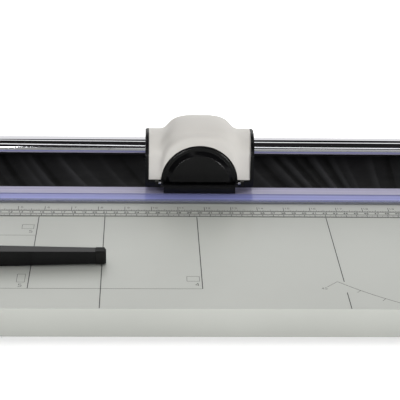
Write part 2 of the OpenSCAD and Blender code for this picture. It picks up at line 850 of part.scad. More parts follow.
module clamp_end_blocks() color(black) at_cut() difference() {
  for (s = [-1, 1]) {
    mirror([s < 0 ? 1 : 0, 0, 0]) translate([block_in, -block_front, 0]) {
      translate([0, 0, strip_deck]) cube([block_len, block_d, block_h]);
      translate([strip_half - block_in + joint_gap, 0, strip_low]) {
        cube([block_out - strip_half - joint_gap, block_d, block_top - strip_low]);
      }
    }
  }
  clamp_rivet_holes();
  for (s = [-1, 1], d = pin_ds) {
    translate([s * pin_x, -d, 0]) {
      cylinder(h = block_top + cut_through, r = pin_d / 2 + run_fit);
      cylinder(h = clamp_spring_h, r = spring_pocket_r);
    }
  }
}

module clamp_rivets() color(steel) at_cut() for (s = [-1, 1], d = pin_ds) {
  translate([s * rivet_x, -d, 0]) {
    translate([0, 0, strip_low]) cylinder(h = block_top - strip_low, d = rivet_d);
    translate([0, 0, block_top]) cylinder(h = rivet_head_h, d1 = rivet_head_d, d2 = rivet_d);
  }
}

module clamp_guide_pins() color(steel) at_cut() for (s = [-1, 1], d = pin_ds) {
  translate([s * pin_x, -d, 0]) {
    translate([0, 0, -plate_t]) cylinder(h = plate_t + block_top + joint_gap, d = pin_d);
    translate([0, 0, block_top + joint_gap]) cylinder(h = pin_head_h, d = pin_head_d);
  }
}

module clamp_springs() color(steel) at_cut() for (s = [-1, 1], d = pin_ds) {
  translate([s * pin_x, -d, 0]) coil_spring(clamp_spring_r, clamp_spring_h, clamp_wire, clamp_turns);
}

// Side lay and back stop
module side_lay() color(steel) at_cut() difference() {
  chamfer = 1;
  translate([lay_mid, -lay_start, 0]) rotate([90, 0, 0]) linear_extrude(lay_front - lay_start) {
    polygon([[-lay_w / 2, 0], [lay_w / 2, 0], [lay_w / 2, lay_h - chamfer], [lay_w / 2 - chamfer, lay_h],
             [chamfer - lay_w / 2, lay_h], [-lay_w / 2, lay_h - chamfer]]);
  }
  lay_screw_holes();
}

module side_lay_screws() color(steel) at_cut() for (d = lay_screw_ds) {
  translate([lay_mid, -d, lay_h]) flat_screw(m4_d, lay_h + plate_t, m4_head_d, m4_head_h);
}

module arm_section(grow) {
  chamfer = 1;
  translate([-arm_mid, 0]) polygon([
    [-arm_d / 2 - grow, arm_low - grow / 2], [arm_d / 2 + grow, arm_low - grow / 2],
    [arm_d / 2 + grow, arm_top + grow - chamfer / 2], [arm_d / 2 + grow - chamfer / 2, arm_top + grow],
    [chamfer - arm_d / 2 - grow, arm_top + grow], [-arm_d / 2 - grow, arm_top + grow - chamfer]
  ]);
}

// The underside of the arm rises in a straight line over its free half.
module arm_underside(grow) {
  half = (arm_tip - arm_root) / 2;
  low = arm_low - grow / 2;
  translate([0, 2 * arm_d - arm_mid, 0]) rotate([90, 0, 0]) linear_extrude(4 * arm_d) {
    polygon([[arm_tip - half, low], [arm_tip + half, low + 2 * arm_taper], [arm_tip + half, low - arm_d],
             [arm_tip - half, low - arm_d]]);
  }
}

module arm_screw_bores(start, length, d) {
  for (z = arm_screw_zs) {
    bar_x(start, length, -arm_mid, z, d / 2);
  }
}

arm_screw_len = 14;

// The arm's rear face, against which the paper lies, is straight; its front and its top slope to the tip.
module arm_body() {
  end = arm_tip - tip_len;
  high = arm_top + arm_rise;
  intersection() {
    translate([0, 0, arm_low]) linear_extrude(high - arm_low) {
      polygon([[arm_root, -stop_at], [end, -stop_at], [end, -stop_at - arm_d],
               [arm_root, -stop_at - arm_d - arm_flare]]);
    }
    translate([0, -stop_at, 0]) rotate([90, 0, 0]) linear_extrude(arm_d + arm_flare) {
      polygon([[arm_root, arm_low], [end, arm_low], [end, arm_top], [arm_root, high]]);
    }
  }
}

module stop_arm() color(black) at_cut() difference() {
  union() {
    arm_body();
    along_x(arm_tip - tip_len - eps, spigot_len + eps) arm_section(-spigot_inset);
  }
  arm_underside(0);
  arm_screw_bores(arm_root - cut_through, arm_screw_len - carriage_wall / 2 + cut_through, m3_d);
}

module stop_end_cap() color(rubber) at_cut() difference() {
  hull() {
    along_x(arm_tip - tip_len, tip_len - tip_round) arm_section(tip_over);
    along_x(arm_tip - eps, eps) arm_section(tip_over - tip_round);
  }
  along_x(arm_tip - tip_len - cut_through, spigot_len + cut_through) arm_section(-spigot_inset);
  arm_underside(tip_over);
}

module stop_carriage() color(black) at_cut() difference() {
  along = carriage_len;
  wide = arm_root - leg_out + carriage_wall;
  translate([leg_out - carriage_wall, -arm_mid - along / 2, carriage_low]) {
    cube([wide, along, carriage_high - carriage_low]);
  }
  translate([leg_out, -arm_mid - along, 0]) cube([leg_in - leg_out, 2 * along, carriage_in]);
  translate([lay_mid, -arm_mid, 0]) cylinder(h = carriage_high + cut_through, r = stud_d / 2 + run_fit);
  arm_screw_bores(leg_in - cut_through, carriage_wall + 2 * cut_through, m3_d);
  arm_screw_bores(leg_in - cut_through, carriage_wall / 2 + cut_through, m3_head_d);
}

module stop_arm_screws() color(steel) at_cut() for (z = arm_screw_zs) {
  translate([leg_in + carriage_wall / 2, -arm_mid, z]) rotate([0, -90, 0]) {
    cap_screw(m3_d, arm_screw_len, m3_head_d, m3_head_h);
  }
}

flute_count = 8;
flute_r = 4;
knob_collar = 2;
knob_collar_r = knob_d * 0.3;
knob_low_bevel = 1;
knob_top_bevel = 2;

module clamp_knob() color(black) at_cut() translate([lay_mid, -arm_mid, knob_low]) difference() {
  rotate_extrude() {
    polygon([[0, 0], [knob_collar_r, 0], [knob_collar_r, knob_collar],
             [knob_d / 2 - knob_low_bevel, knob_collar], [knob_d / 2, knob_collar + knob_low_bevel],
             [knob_d / 2, knob_h - knob_top_bevel], [knob_d / 2 - knob_top_bevel, knob_h], [0, knob_h]]);
  }
  for (i = [0:flute_count - 1]) {
    rotate(360 * i / flute_count) translate([knob_d / 2 + flute_r * 0.6, 0, knob_collar - eps]) {
      cylinder(h = knob_h, r = flute_r);
    }
  }
  translate([0, 0, -cut_through]) cylinder(h = knob_h * 0.6 + cut_through, d = stud_d);
}

module knob_stud() color(steel) at_cut() {
  low = lay_h + slide_gap;
  translate([lay_mid, -arm_mid, low]) cylinder(h = knob_low + knob_h * 0.6 - low, d = stud_d);
}

// Head: a chassis on two bushes, a white shell, two cheeks and the foot that presses the clear strip.
module side_outline(inset, low) {
  r = shoulder_r - inset;
  for (y = [shoulder_r - head_front, head_rear - shoulder_r]) {
    translate([y, shoulder_z]) circle(r);
  }
  translate([inset - head_front, low]) square([head_front + head_rear - 2 * inset, shoulder_z - low]);
  between = head_front + head_rear - 2 * shoulder_r;
  translate([shoulder_r - head_front, shoulder_z - r]) square([between, 2 * r]);
}

function bell_profile(inset) = concat(
  [[0, inset - head_rear]],
  [for (i = [-12:12]) let (a = 7.5 * i, reach = (i < 0 ? bell_a_rear : bell_a_front) - inset)
    [bell_core_r + (bell_rise - inset) * cos(a), bell_mid + reach * sin(a)]],
  [[0, bell_front - inset]]
);

module bell(inset) {
  translate([0, 0, bell_z]) rotate([90, 0, 0]) rotate_extrude(angle = 180) polygon(bell_profile(inset));
}

module head_shell() color(white) at_head() difference() {
  union() {
    along_x(-shell_half, 2 * shell_half) side_outline(0, base_top);
    intersection() {
      bell(0);
      translate([-shell_half, -head_w, 0]) cube([2 * shell_half, 2 * head_w, head_w]);
    }
  }
  along_x(-head_half, head_w) side_outline(shell_wall, base_bottom);
  bell(shell_wall);
  bar_y(-3 * head_front, 3 * head_front, 0, bell_z, opening_r);
  translate([-head_w, -head_w, base_top - head_w]) cube([2 * head_w, 2 * head_w, head_w]);
}

cheek_screw_inset = 4;
cheek_screw_ys = [tube_y - bearing_r + cheek_screw_inset, tube_y + bearing_r - cheek_screw_inset];
cheek_screw_rise = 5.5;
cheek_screw_z = base_top + cheek_screw_rise;
cheek_screw_len = 12;
cheek_round = 0.8;

module cheek() {
  difference() {
    union() {
      along_x(shell_half, cheek_t - cheek_round) side_outline(0, base_bottom);
      along_x(head_half - cheek_round - eps, cheek_round + eps) {
        side_outline(cheek_round, base_bottom + cheek_round);
      }
    }
    bar_x(shell_half - cut_through, cheek_t + 2 * cut_through, tube_y, tube_z, tube_r + 2 * slide_gap);
    for (y = cheek_screw_ys) {
      translate([head_half, y, cheek_screw_z]) rotate([0, 90, 0]) {
        flat_hole(m3_d, cheek_t + cut_through, m3_head_d, m3_head_h);
      }
    }
  }
}

module right_cheek() color(black) at_head() cheek();

module left_cheek() color(black) at_head() mirror([1, 0, 0]) cheek();

module cheek_screws() color(steel) at_head() for (s = [0, 1], y = cheek_screw_ys) {
  mirror([s, 0, 0]) translate([head_half, y, cheek_screw_z]) rotate([0, 90, 0]) {
    flat_screw(m3_d, cheek_screw_len, m3_head_d, m3_head_h);
  }
}

module bearing_outline() {
  translate([tube_y, tube_z]) circle(bearing_r);
  translate([tube_y - bearing_r, base_bottom]) square([2 * bearing_r, tube_z - base_bottom]);
}

module shoe_screw_holes(depth) {
  for (s = [-1, 1]) {
    translate([s * (shoe_half - skid_w / 2), shoe_screw_y, base_bottom]) cylinder(h = depth, d = m3_d);
  }
}

module head_chassis() color(black) at_head() difference() {
  union() {
    translate([-shell_half, -head_front, base_bottom]) {
      cube([2 * shell_half, head_front + head_rear, base_top - base_bottom]);
    }
    for (s = [0, 1]) {
      mirror([s, 0, 0]) along_x(bearing_in, bearing_out - bearing_in) bearing_outline();
      mirror([s, 0, 0]) translate([lug_in, hinge_y - lug_wall, hinge_z - lug_wall]) {
        cube([lug_w, lug_wall - head_front - hinge_y, 2 * lug_wall]);
      }
    }
    translate([-web_w / 2, web_front, base_bottom]) cube([web_w, web_d, web_top - base_bottom]);
  }
  cut_h = base_top - base_bottom + 2 * cut_through;
  translate([-slot_half, -slot_front, base_bottom - cut_through]) {
    cube([2 * slot_half, slot_front + web_front, cut_h]);
  }
  translate([-notch_half, -head_front - cut_through, base_bottom - cut_through]) {
    cube([2 * notch_half, head_front + cut_through - slot_front + eps, cut_h]);
  }
  bar_x(-head_half, head_w, tube_y, tube_z, bush_r);
  bar_y(web_front - cut_through, web_d + 2 * cut_through, 0, axle_z, axle_d / 2);
  bar_x(-lug_out - cut_through, 2 * (lug_out + cut_through), hinge_y, hinge_z, hinge_pin_d / 2);
  shoe_screw_holes(shoe_thread);
  for (s = [-1, 1], y = cheek_screw_ys) {
    bar_x(s < 0 ? -head_half : head_half - cheek_screw_len, cheek_screw_len, y, cheek_screw_z, m3_d / 2);
  }
}

module slide_bushings() color(white) at_head() for (s = [0, 1]) {
  mirror([s, 0, 0]) difference() {
    bar_x(bush_in, bush_len, tube_y, tube_z, bush_r);
    bar_x(bush_in - cut_through, bush_len + 2 * cut_through, tube_y, tube_z, tube_r + run_fit);
  }
}

module felt_wipers() color(felt) at_head() for (s = [0, 1]) {
  mirror([s, 0, 0]) difference() {
    bar_x(felt_in, felt_t, tube_y, tube_z, bush_r);
    bar_x(felt_in - cut_through, felt_t + 2 * cut_through, tube_y, tube_z, tube_r + slide_gap);
  }
}

key_len = 15.8;

module guide_key() color(brass) at_head() {
  fit = run_fit * 2;
  high = tube_low + keyway_depth - slide_gap;
  translate([-key_len / 2, tube_y - keyway_w / 2 + fit, web_top]) {
    cube([key_len, keyway_w - 2 * fit, high - web_top]);
  }
}

module presser_foot() color(black) at_head() difference() {
  union() {
    translate([-shoe_half, -shoe_front, shoe_low]) {
      cube([foot_w, shoe_front - shoe_back, shoe_top - shoe_low]);
    }
    for (s = [0, 1]) {
      mirror([s, 0, 0]) translate([shoe_half - skid_w, -shoe_back - eps, shoe_low]) {
        cube([skid_w, shoe_back + skid_len, base_bottom - shoe_low]);
      }
    }
  }
  lead = 1.5;
  translate([0, -shoe_front, shoe_low]) rotate([45, 0, 0]) cube([2 * foot_w, lead, lead], center = true);
  translate([0, -shoe_front, shoe_top]) rotate([45, 0, 0]) cube([2 * foot_w, lead, lead], center = true);
  for (s = [-1, 1]) {
    translate([s * (shoe_half - skid_w / 2), shoe_screw_y, shoe_low - cut_through]) {
      cylinder(h = base_bottom, d = m3_d);
      cylinder(h = cut_through + shoe_recess, d = m3_head_d);
    }
  }
}

module foot_screws() color(steel) at_head() for (s = [-1, 1]) {
  translate([s * (shoe_half - skid_w / 2), shoe_screw_y, shoe_low + shoe_recess]) rotate([180, 0, 0]) {
    cap_screw(m3_d, base_bottom - shoe_low - shoe_recess + shoe_thread - 1, m3_head_d, m3_head_h);
  }
}

module cover_hinge_pins() color(chrome) at_head() for (s = [0, 1]) {
  mirror([s, 0, 0]) bar_x(ear_in, lug_out - ear_in, hinge_y, hinge_z, hinge_pin_d / 2);
}

// Cutting wheel on its axle
module cutting_wheel() color(steel) at_head() translate([0, wheel_front, axle_z]) rotate([-90, 0, 0]) {
  land = 0.3;
  bevel = wheel_t - land;
  rotate_extrude() {
    polygon([[hub_sleeve_d / 2, 0], [wheel_r, 0], [wheel_r, land], [wheel_r - 2 * bevel, wheel_t],
             [hub_sleeve_d / 2, wheel_t]]);
  }
}

module blade_hub() color(brass) at_head() translate([0, wheel_front, axle_z]) rotate([-90, 0, 0]) {
  bore = axle_d / 2 + run_fit;
  rotate_extrude() {
    polygon([[bore, 0], [hub_sleeve_d / 2, 0], [hub_sleeve_d / 2, wheel_t], [hub_d / 2, wheel_t],
             [hub_d / 2, wheel_t + hub_flange_t], [bore, wheel_t + hub_flange_t]]);
  }
}

washer_front = wheel_front - joint_gap - washer_t;

module blade_washer() color(steel) at_head() difference() {
  bar_y(washer_front, washer_t, 0, axle_z, washer_d / 2);
  bar_y(washer_front - cut_through, washer_t + 2 * cut_through, 0, axle_z, axle_d / 2);
}

driver_w = 1.6;
driver_depth = 1;

module blade_axle() color(steel) at_head() difference() {
  union() {
    bar_y(washer_front - axle_head_h, axle_head_h, 0, axle_z, axle_head_d / 2);
    bar_y(washer_front, web_back + nut_h + 1 - washer_front, 0, axle_z, axle_d / 2);
  }
  translate([0, washer_front - axle_head_h, axle_z]) {
    cube([axle_head_d + cut_through, 2 * driver_depth, driver_w], center = true);
  }
}

module axle_nut() color(steel) at_head() difference() {
  translate([0, web_back, axle_z]) rotate([-90, 0, 0]) cylinder(h = nut_h, d = nut_d, $fn = 6);
  bar_y(web_back - cut_through, nut_h + 2 * cut_through, 0, axle_z, axle_d / 2);
}

module blade_spring() color(steel) at_head() translate([0, hub_back + joint_gap, axle_z]) {
  rotate([-90, 0, 0]) coil_spring(blade_spring_r, blade_spring_len - joint_gap, blade_wire, 1);
}

// Wheel cover: a half round lid with a rim and a raised disc, on two ears.
module blade_cover() color(black) at_head() difference() {
  union() {
    rim = cover_back + cover_rim_h;
    edge = 1.1;
    soft = 0.6;
    step = cover_front - rim;
    inner_step = rim - cover_wall;
    translate([0, 0, bell_z]) rotate([90, 0, 0]) rotate_extrude(angle = 180) {
      polygon([[cover_r, cover_back], [cover_r, rim - edge], [cover_r - edge * 0.3, rim - edge * 0.3],
               [cover_r - edge, rim], [cover_disc_r + step + soft, rim],
               [cover_disc_r + soft, cover_front - soft], [cover_disc_r - soft, cover_front],
               [0, cover_front],
               [0, cover_front - cover_wall],
               [cover_disc_r - cover_wall, cover_front - cover_wall],
               [cover_disc_r + step - cover_wall, inner_step], [cover_r - cover_wall, inner_step],
               [cover_r - cover_wall, cover_back]]);
    }
    for (s = [0, 1]) {
      mirror([s, 0, 0]) {
        bar_x(ear_in, ear_out - ear_in, hinge_y, hinge_z, hinge_ear_r);
        translate([ear_in, hinge_y, hinge_z]) {
          cube([cover_r - cover_wall / 2 - ear_in, -cover_back - hinge_y - ear_gap, 2 * hinge_ear_r]);
        }
      }
    }
  }
  bar_x(-ear_out - cut_through, 2 * (ear_out + cut_through), hinge_y, hinge_z, hinge_pin_d / 2 + run_fit);
}

table_plate();
front_rail();
corner_caps();
left_side_rail();
right_side_rail();
bed_beam();
bed_knife();
knife_screws();
scale_strip();
left_end_bracket();
right_end_bracket();
bracket_screws();
guide_tube();
tube_end_caps();
tube_grub_screws();
rubber_feet();
side_lay();
side_lay_screws();
clamp_guide_pins();
clamp_springs();
cloth_batten();
batten_screws();
catch_cloth();
cloth_rod();
clamp_strip();
clamp_end_blocks();
clamp_rivets();
head_chassis();
head_shell();
left_cheek();
right_cheek();
cheek_screws();
slide_bushings();
felt_wipers();
guide_key();
blade_axle();
axle_nut();
blade_washer();
blade_spring();
presser_foot();
foot_screws();
cover_hinge_pins();
cutting_wheel();
blade_hub();
blade_cover();
stop_carriage();
stop_arm();
stop_end_cap();
stop_arm_screws();
clamp_knob();
knob_stud();
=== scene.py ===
import json
import math

import bpy
import numpy as np
from bpy.props import FloatProperty, FloatVectorProperty, PointerProperty
from mathutils import Matrix, Vector


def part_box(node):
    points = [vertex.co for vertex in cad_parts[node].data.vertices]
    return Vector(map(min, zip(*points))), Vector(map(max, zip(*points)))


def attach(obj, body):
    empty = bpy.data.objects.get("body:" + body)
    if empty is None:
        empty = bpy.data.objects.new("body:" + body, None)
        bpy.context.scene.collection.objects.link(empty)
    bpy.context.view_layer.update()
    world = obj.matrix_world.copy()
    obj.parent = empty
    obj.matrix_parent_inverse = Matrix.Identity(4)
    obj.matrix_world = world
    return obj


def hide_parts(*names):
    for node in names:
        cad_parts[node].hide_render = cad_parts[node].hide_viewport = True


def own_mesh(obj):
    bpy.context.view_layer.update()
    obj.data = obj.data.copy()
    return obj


bl_info = {
    "name": "Rolling trimmer dressing",
    "version": (1, 0, 0),
    "blender": (4, 5, 0),
    "location": "3D View > Sidebar > Trimmer",
    "description": "Dresses the packed rolling trimmer with its shell, cloth, print, springs and finishes",
    "category": "Object",
}

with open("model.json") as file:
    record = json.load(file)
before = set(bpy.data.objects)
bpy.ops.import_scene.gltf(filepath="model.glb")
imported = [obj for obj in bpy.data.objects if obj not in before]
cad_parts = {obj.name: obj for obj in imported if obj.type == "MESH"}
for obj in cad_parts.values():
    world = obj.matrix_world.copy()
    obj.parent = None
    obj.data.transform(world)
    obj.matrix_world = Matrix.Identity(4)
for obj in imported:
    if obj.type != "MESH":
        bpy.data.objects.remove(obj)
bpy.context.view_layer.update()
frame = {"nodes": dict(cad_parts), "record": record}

MM = 0.001

# Places read from the frame: the cutting edge, the table top and what is dressed
CUT_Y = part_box("bed_knife")[1].y
TOP_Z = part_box("table_plate")[1].z
SCALE_LOW, SCALE_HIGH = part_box("scale_strip")
SHELL_LOW, SHELL_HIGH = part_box("head_shell")
CLOTH_LOW, CLOTH_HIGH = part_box("catch_cloth")
STRIP_LOW, STRIP_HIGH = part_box("clamp_strip")
HEAD_X = (SHELL_LOW.x + SHELL_HIGH.x) / 2
SHELL_HALF = (SHELL_HIGH.x - SHELL_LOW.x) / 2
AXLE = (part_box("blade_axle")[0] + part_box("blade_axle")[1]) / 2
SCALE_ZERO = SCALE_LOW.x


def srgb(red, green, blue):
    """A colour given in 0-255 display values, as linear light."""
    c = np.array([red, green, blue]) / 255
    return tuple(float(v) for v in np.where(c > 0.04045, ((c + 0.055) / 1.055) ** 2.4, c / 12.92))


def length(name, description, millimetres):
    """A property that holds a size."""
    return FloatProperty(name=name, description=description, default=millimetres * MM, precision=5,
                         unit="LENGTH", subtype="DISTANCE")


def lamp_power(name, description, default):
    """A property that holds the power of a lamp."""
    return FloatProperty(name=name, description=description, default=default, min=0, unit="POWER")


def curve_power(name, description, default):
    """A property that holds the power of a curve's formula."""
    return FloatProperty(name=name, description=description, default=default, min=1)


def colour(name, description, default):
    """A property that holds a colour."""
    return FloatVectorProperty(name=name, description=description, default=default, size=3, min=0, max=1,
                               subtype="COLOR")


class TrimmerColours(bpy.types.PropertyGroup):
    """Colours of the finishes."""

    table: colour("Table", "Pale grey powder coat of the table and rails", srgb(187, 189, 183))
    shell: colour("Shell", "Warm white of the head's shell", srgb(203, 200, 195))
    black: colour("Black plastic", "Satin black of the moulded parts", srgb(10, 10, 11))
    clear: colour("Clear strip", "Tint of the clear paper clamp", srgb(178, 184, 255))
    lane: colour("Clear lane", "Paler tint of the clamp's raised rear lane", srgb(200, 196, 228))
    # The rim colour is painted shade: grey for the shadow at the clamp's front edge
    rim: colour("Clear rim", "Grey of the clamp's front edge", srgb(150, 154, 166))
    chrome: colour("Chrome", "Polished tube", srgb(224, 224, 228))
    steel: colour("Steel", "Ground steel of the knife and wheel", srgb(188, 190, 194))
    aluminium: colour("Aluminium", "Satin aluminium of the beam, batten and side lay", srgb(198, 199, 200))
    brass: colour("Brass", "Turned brass of the hub and key", srgb(196, 164, 98))
    cloth: colour("Cloth", "Black woven catch cloth", srgb(11, 11, 12))
    ink: colour("Ink", "Dark grey print on the table", srgb(34, 34, 33))
    felt: colour("Felt", "Grey felt of the tube wipers", srgb(120, 114, 106))
    rubber: colour("Rubber", "Rubber of the feet and the stop's tip", srgb(13, 13, 12))
    bush: colour("Bush", "Natural plastic of the slide bushes", srgb(226, 224, 214))
    backdrop: colour("Backdrop", "Floor round the machine", (0.8, 0.8, 0.8))


class TrimmerShell(bpy.types.PropertyGroup):
    """Sizes of the head's shell."""

    wall: length("Wall", "Thickness of the shell", 2.2)
    shoulder_top: length("Shoulder height", "Height of the shoulders above the table", 58.35)
    shoulder_round: length("Shoulder rounding", "Radius of the shoulders seen from the side", 20)
    shoulder_inset: length("Shoulder inset", "Depth of the shoulders behind the face, at the bell", 3.4)
    cheek_inset: length("Cheek inset", "Depth of the shoulders behind the face, at the cheeks", 2.2)
    flare_inset: length("Flare inset", "Depth of the shoulders' lower edge behind the face", 0.7)
    flare_top: length("Flare height", "Height above the table where the shoulders begin to flare", 36)
    bell_axis: length("Bell axis", "Height of the bell's axis above the table", 13.5)
    bell_half: length("Bell half width", "Half the width of the bell at its axis", 39.2)
    bell_tall: length("Bell height", "Height of the bell's arch above its axis", 59.4)
    bell_crown: length("Crown height", "Height of the bell's crown above its axis", 61)
    bell_rise: length("Bell rise", "Height over which the crown falls to the front and the rear", 21.3)
    bell_front: length("Bell front", "Length of the crown's front slope", 27.5)
    bell_rear: length("Bell rear", "Length of the crown's rear slope", 20)
    bell_mid: length("Bell middle", "Distance of its highest place behind the face", 26)
    bell_round: length("Bell rounding", "Width of the rounding between the crown and the flanks", 10)
    bell_inset: length("Bell inset", "Depth of its flat front behind the face", 1.4)
    bell_edge: length("Bell edge", "Width of the rounding between its front and flanks", 11)
    arch_power: curve_power("Arch power", "Power of the bell's section", 2.9)
    front_power: curve_power("Front power", "Power of the crown's front curve", 1.4)
    rear_power: curve_power("Rear power", "Power of the crown's rear curve", 2.4)
    opening: length("Opening", "Radius of the arched opening for the wheel cover", 37.6)
    lip_tall: length("Lip height", "Height of the lip's arch above the bell's axis", 48.0)
    lip_depth: length("Lip depth", "Depth from its front to its end inside the bell", 12)
    lip_round: length("Lip rounding", "Radius of the lip's outer edge", 5)
    lip_inset: length("Lip inset", "Depth of its front behind the face", 0.7)
    lip_fillet: length("Lip fillet", "Width of the soft hollow behind the lip", 2)
    fillet: length("Fillet", "Width of the soft hollow between bell and shoulders", 6)


class TrimmerCloth(bpy.types.PropertyGroup):
    """Sizes of the catch cloth."""

    thickness: length("Thickness", "Thickness of the cloth", 1.2)
    fold: length("Fold height", "Height of the main folds", 2.2)
    crease: length("Crease height", "Height of a full crease", 1.5)
    steep: length("Crease steep side", "Width of a crease's steep side", 1.4)
    slack: length("Crease slack side", "Width of a crease's slack side", 4.5)
    pitch: length("Fold pitch", "Distance between the main folds along the cut", 116)


class TrimmerPrint(bpy.types.PropertyGroup):
    """Sizes of the print on the table and the scale."""

    line: length("Line width", "Width of the paper-size lines", 0.75)
    thin: length("Thin line", "Width of the fine lines and ticks", 0.28)
    ink: length("Ink height", "Thickness of the print", 0.05)
    digit: length("Digit height", "Height of the scale's numbers", 3.0)


class TrimmerStage(bpy.types.PropertyGroup):
    """Powers of the lamps and the camera's lens."""

    key_power: lamp_power("Key lamp", "Power of the large lamp above the rear", 12.4)
    top_power: lamp_power("Top lamp", "Power of the lamp overhead", 11.0)
    right_power: lamp_power("Right lamp", "Power of the lamp to the user's right", 118.0)
    rim_power: lamp_power("Rim lamp", "Power of the small lamp at the right", 30.0)
    left_power: lamp_power("Left lamp", "Power of the small lamp at the left", 38.0)
    lens: FloatProperty(name="Lens", description="Focal length in millimetres", default=124.53, min=1)


GROUPS = {
    "trimmer_colours": TrimmerColours,
    "trimmer_shell": TrimmerShell,
    "trimmer_cloth": TrimmerCloth,
    "trimmer_print": TrimmerPrint,
    "trimmer_stage": TrimmerStage,
}


# Meshes

def add_mesh(name, points, faces, sharp=None):
    """A mesh object at the origin from an array of points and a list of face arrays. Edges that bend by more
    than sharp, in degrees, are drawn sharp."""
    mesh = bpy.data.meshes.new(name)
    mesh.from_pydata(points.reshape(-1, 3).tolist(), [], [f for block in faces for f in block.tolist()])
    mesh.update()
    mesh.shade_smooth()
    if sharp is not None:
        mesh.set_sharp_from_angle(angle=math.radians(sharp))
    piece = bpy.data.objects.new(name, mesh)
    bpy.context.scene.collection.objects.link(piece)
    return piece


def quads(rows, cols, start=0, wrap=False):
    """Faces between neighbours in a grid of rows by cols points; wrap joins the last column to the first."""
    i = np.arange(rows - 1)[:, None] * cols
    j = np.arange(cols if wrap else cols - 1)[None, :]
    k = (j + 1) % cols
    corners = [i + j, i + k, i + cols + k, i + cols + j]
    return np.stack([c + 0 * i + 0 * j for c in corners], -1).reshape(-1, 4) + start


def unit(vectors):
    """Vectors divided by their lengths."""
    return vectors / np.maximum(np.linalg.norm(vectors, axis=-1, keepdims=True), 1e-12)


def grid_normals(points):
    """Unit normals of a grid of points: the cross product of its two central differences."""
    return unit(np.cross(*np.gradient(points, axis=(0, 1))))


def thick_sheet(outer, inner):
    """A closed wall from two grids of the same size, outer and inner, joined round their four edges."""
    rows, cols = outer.shape[:2]
    count = rows * cols
    index = np.arange(count).reshape(rows, cols)
    ring = np.concatenate([index[0, :-1], index[:-1, -1], index[-1, :0:-1], index[:0:-1, 0]])
    after = np.roll(ring, -1)
    rim = np.stack([ring, ring + count, after + count, after], -1)
    points = np.concatenate([outer.reshape(-1, 3), inner.reshape(-1, 3)])
    return points, [quads(rows, cols), quads(rows, cols, count)[:, ::-1], rim]


def sweep(path, profile_across, profile_up, across, up):
    """A closed profile carried along a path: each point of the path plus the profile in its two directions.
    Flat ends close it."""
    rings = (path[:, None] + across[:, None] * profile_across[None, :, None]
             + up[:, None] * profile_up[None, :, None])
    n, m = rings.shape[:2]
    ends = [np.arange(m)[None, ::-1], np.arange((n - 1) * m, n * m)[None]]
    return rings.reshape(-1, 3), [quads(n, m, wrap=True), *ends]


def ribbon(path, width, ink):
    """A flat line of ink between two heights: a rectangle carried along a path on the table, mitred by the
    path's own normal."""
    low, high = ink
    run = unit(np.gradient(path, axis=0))
    across = np.column_stack([-run[:, 1], run[:, 0], 0 * run[:, 0]])
    up = np.tile([0.0, 0.0, 1.0], (len(path), 1))
    points = np.column_stack([path, np.full(len(path), (low + high) / 2)])
    wide = width / 2 * np.array([-1, 1, 1, -1])
    thick = (high - low) / 2 * np.array([-1, -1, 1, 1])
    return sweep(points, wide, thick, across, up)


def joined(parts):
    """Several (points, faces) parts as one."""
    points, faces, start = [], [], 0
    for part_points, part_faces in parts:
        points.append(part_points)
        faces += [block + start for block in part_faces]
        start += len(part_points)
    return np.concatenate(points), faces


def coil(centre, axis, low, high, radius, wire, turns, steps=28, sides=10):
    """A spring's wire: a circle carried along a helix about axis. A part of a turn at each end rises by
    about half the wire, so that the ends nearly close, and the turns between rise evenly."""
    closed, rise = 0.75, 0.52 * wire
    gone = turns * np.linspace(0, 1, int(turns * steps) + 1)
    ends = np.clip(gone / closed, 0, 1) + np.clip((gone - turns + closed) / closed, 0, 1)
    climb = np.clip((gone - closed) / (turns - 2 * closed), 0, 1)
    height = low + wire / 2 + rise * ends + (high - low - wire - 2 * rise) * climb
    angle = 2 * np.pi * gone
    out = np.column_stack([np.cos(angle), np.sin(angle), 0 * angle])
    path = out * radius + np.column_stack([0 * gone, 0 * gone, height])
    side = np.cross(unit(np.gradient(path, axis=0)), out)
    a = 2 * np.pi * np.arange(sides) / sides
    points, faces = sweep(path, np.cos(a) * wire / 2, -np.sin(a) * wire / 2, out, side)
    turn = np.array(Vector((0, 0, 1)).rotation_difference(Vector(axis)).to_matrix())
    return points @ turn.T + np.array(centre), faces


# Digits: each is a few strokes in a cell that is 1 high. The step leads from one cell to the next.
DIGIT_WIDE, DIGIT_STEP = 0.6, 0.82


def bow(cx, cy, rx, ry, start, stop, steps=14):
    """Points of an ellipse's arc between two angles in degrees."""
    a = np.radians(np.linspace(start, stop, steps))
    return np.column_stack([cx + rx * np.cos(a), cy + ry * np.sin(a)])


def line(*points):
    """A stroke of straight runs, with two close points at each corner so that it stays square."""
    close = 0.01
    p = np.array(points, float)
    run = close * unit(np.diff(p, axis=0))
    return np.stack([p[:-1] + run, p[1:] - run], 1).reshape(-1, 2)


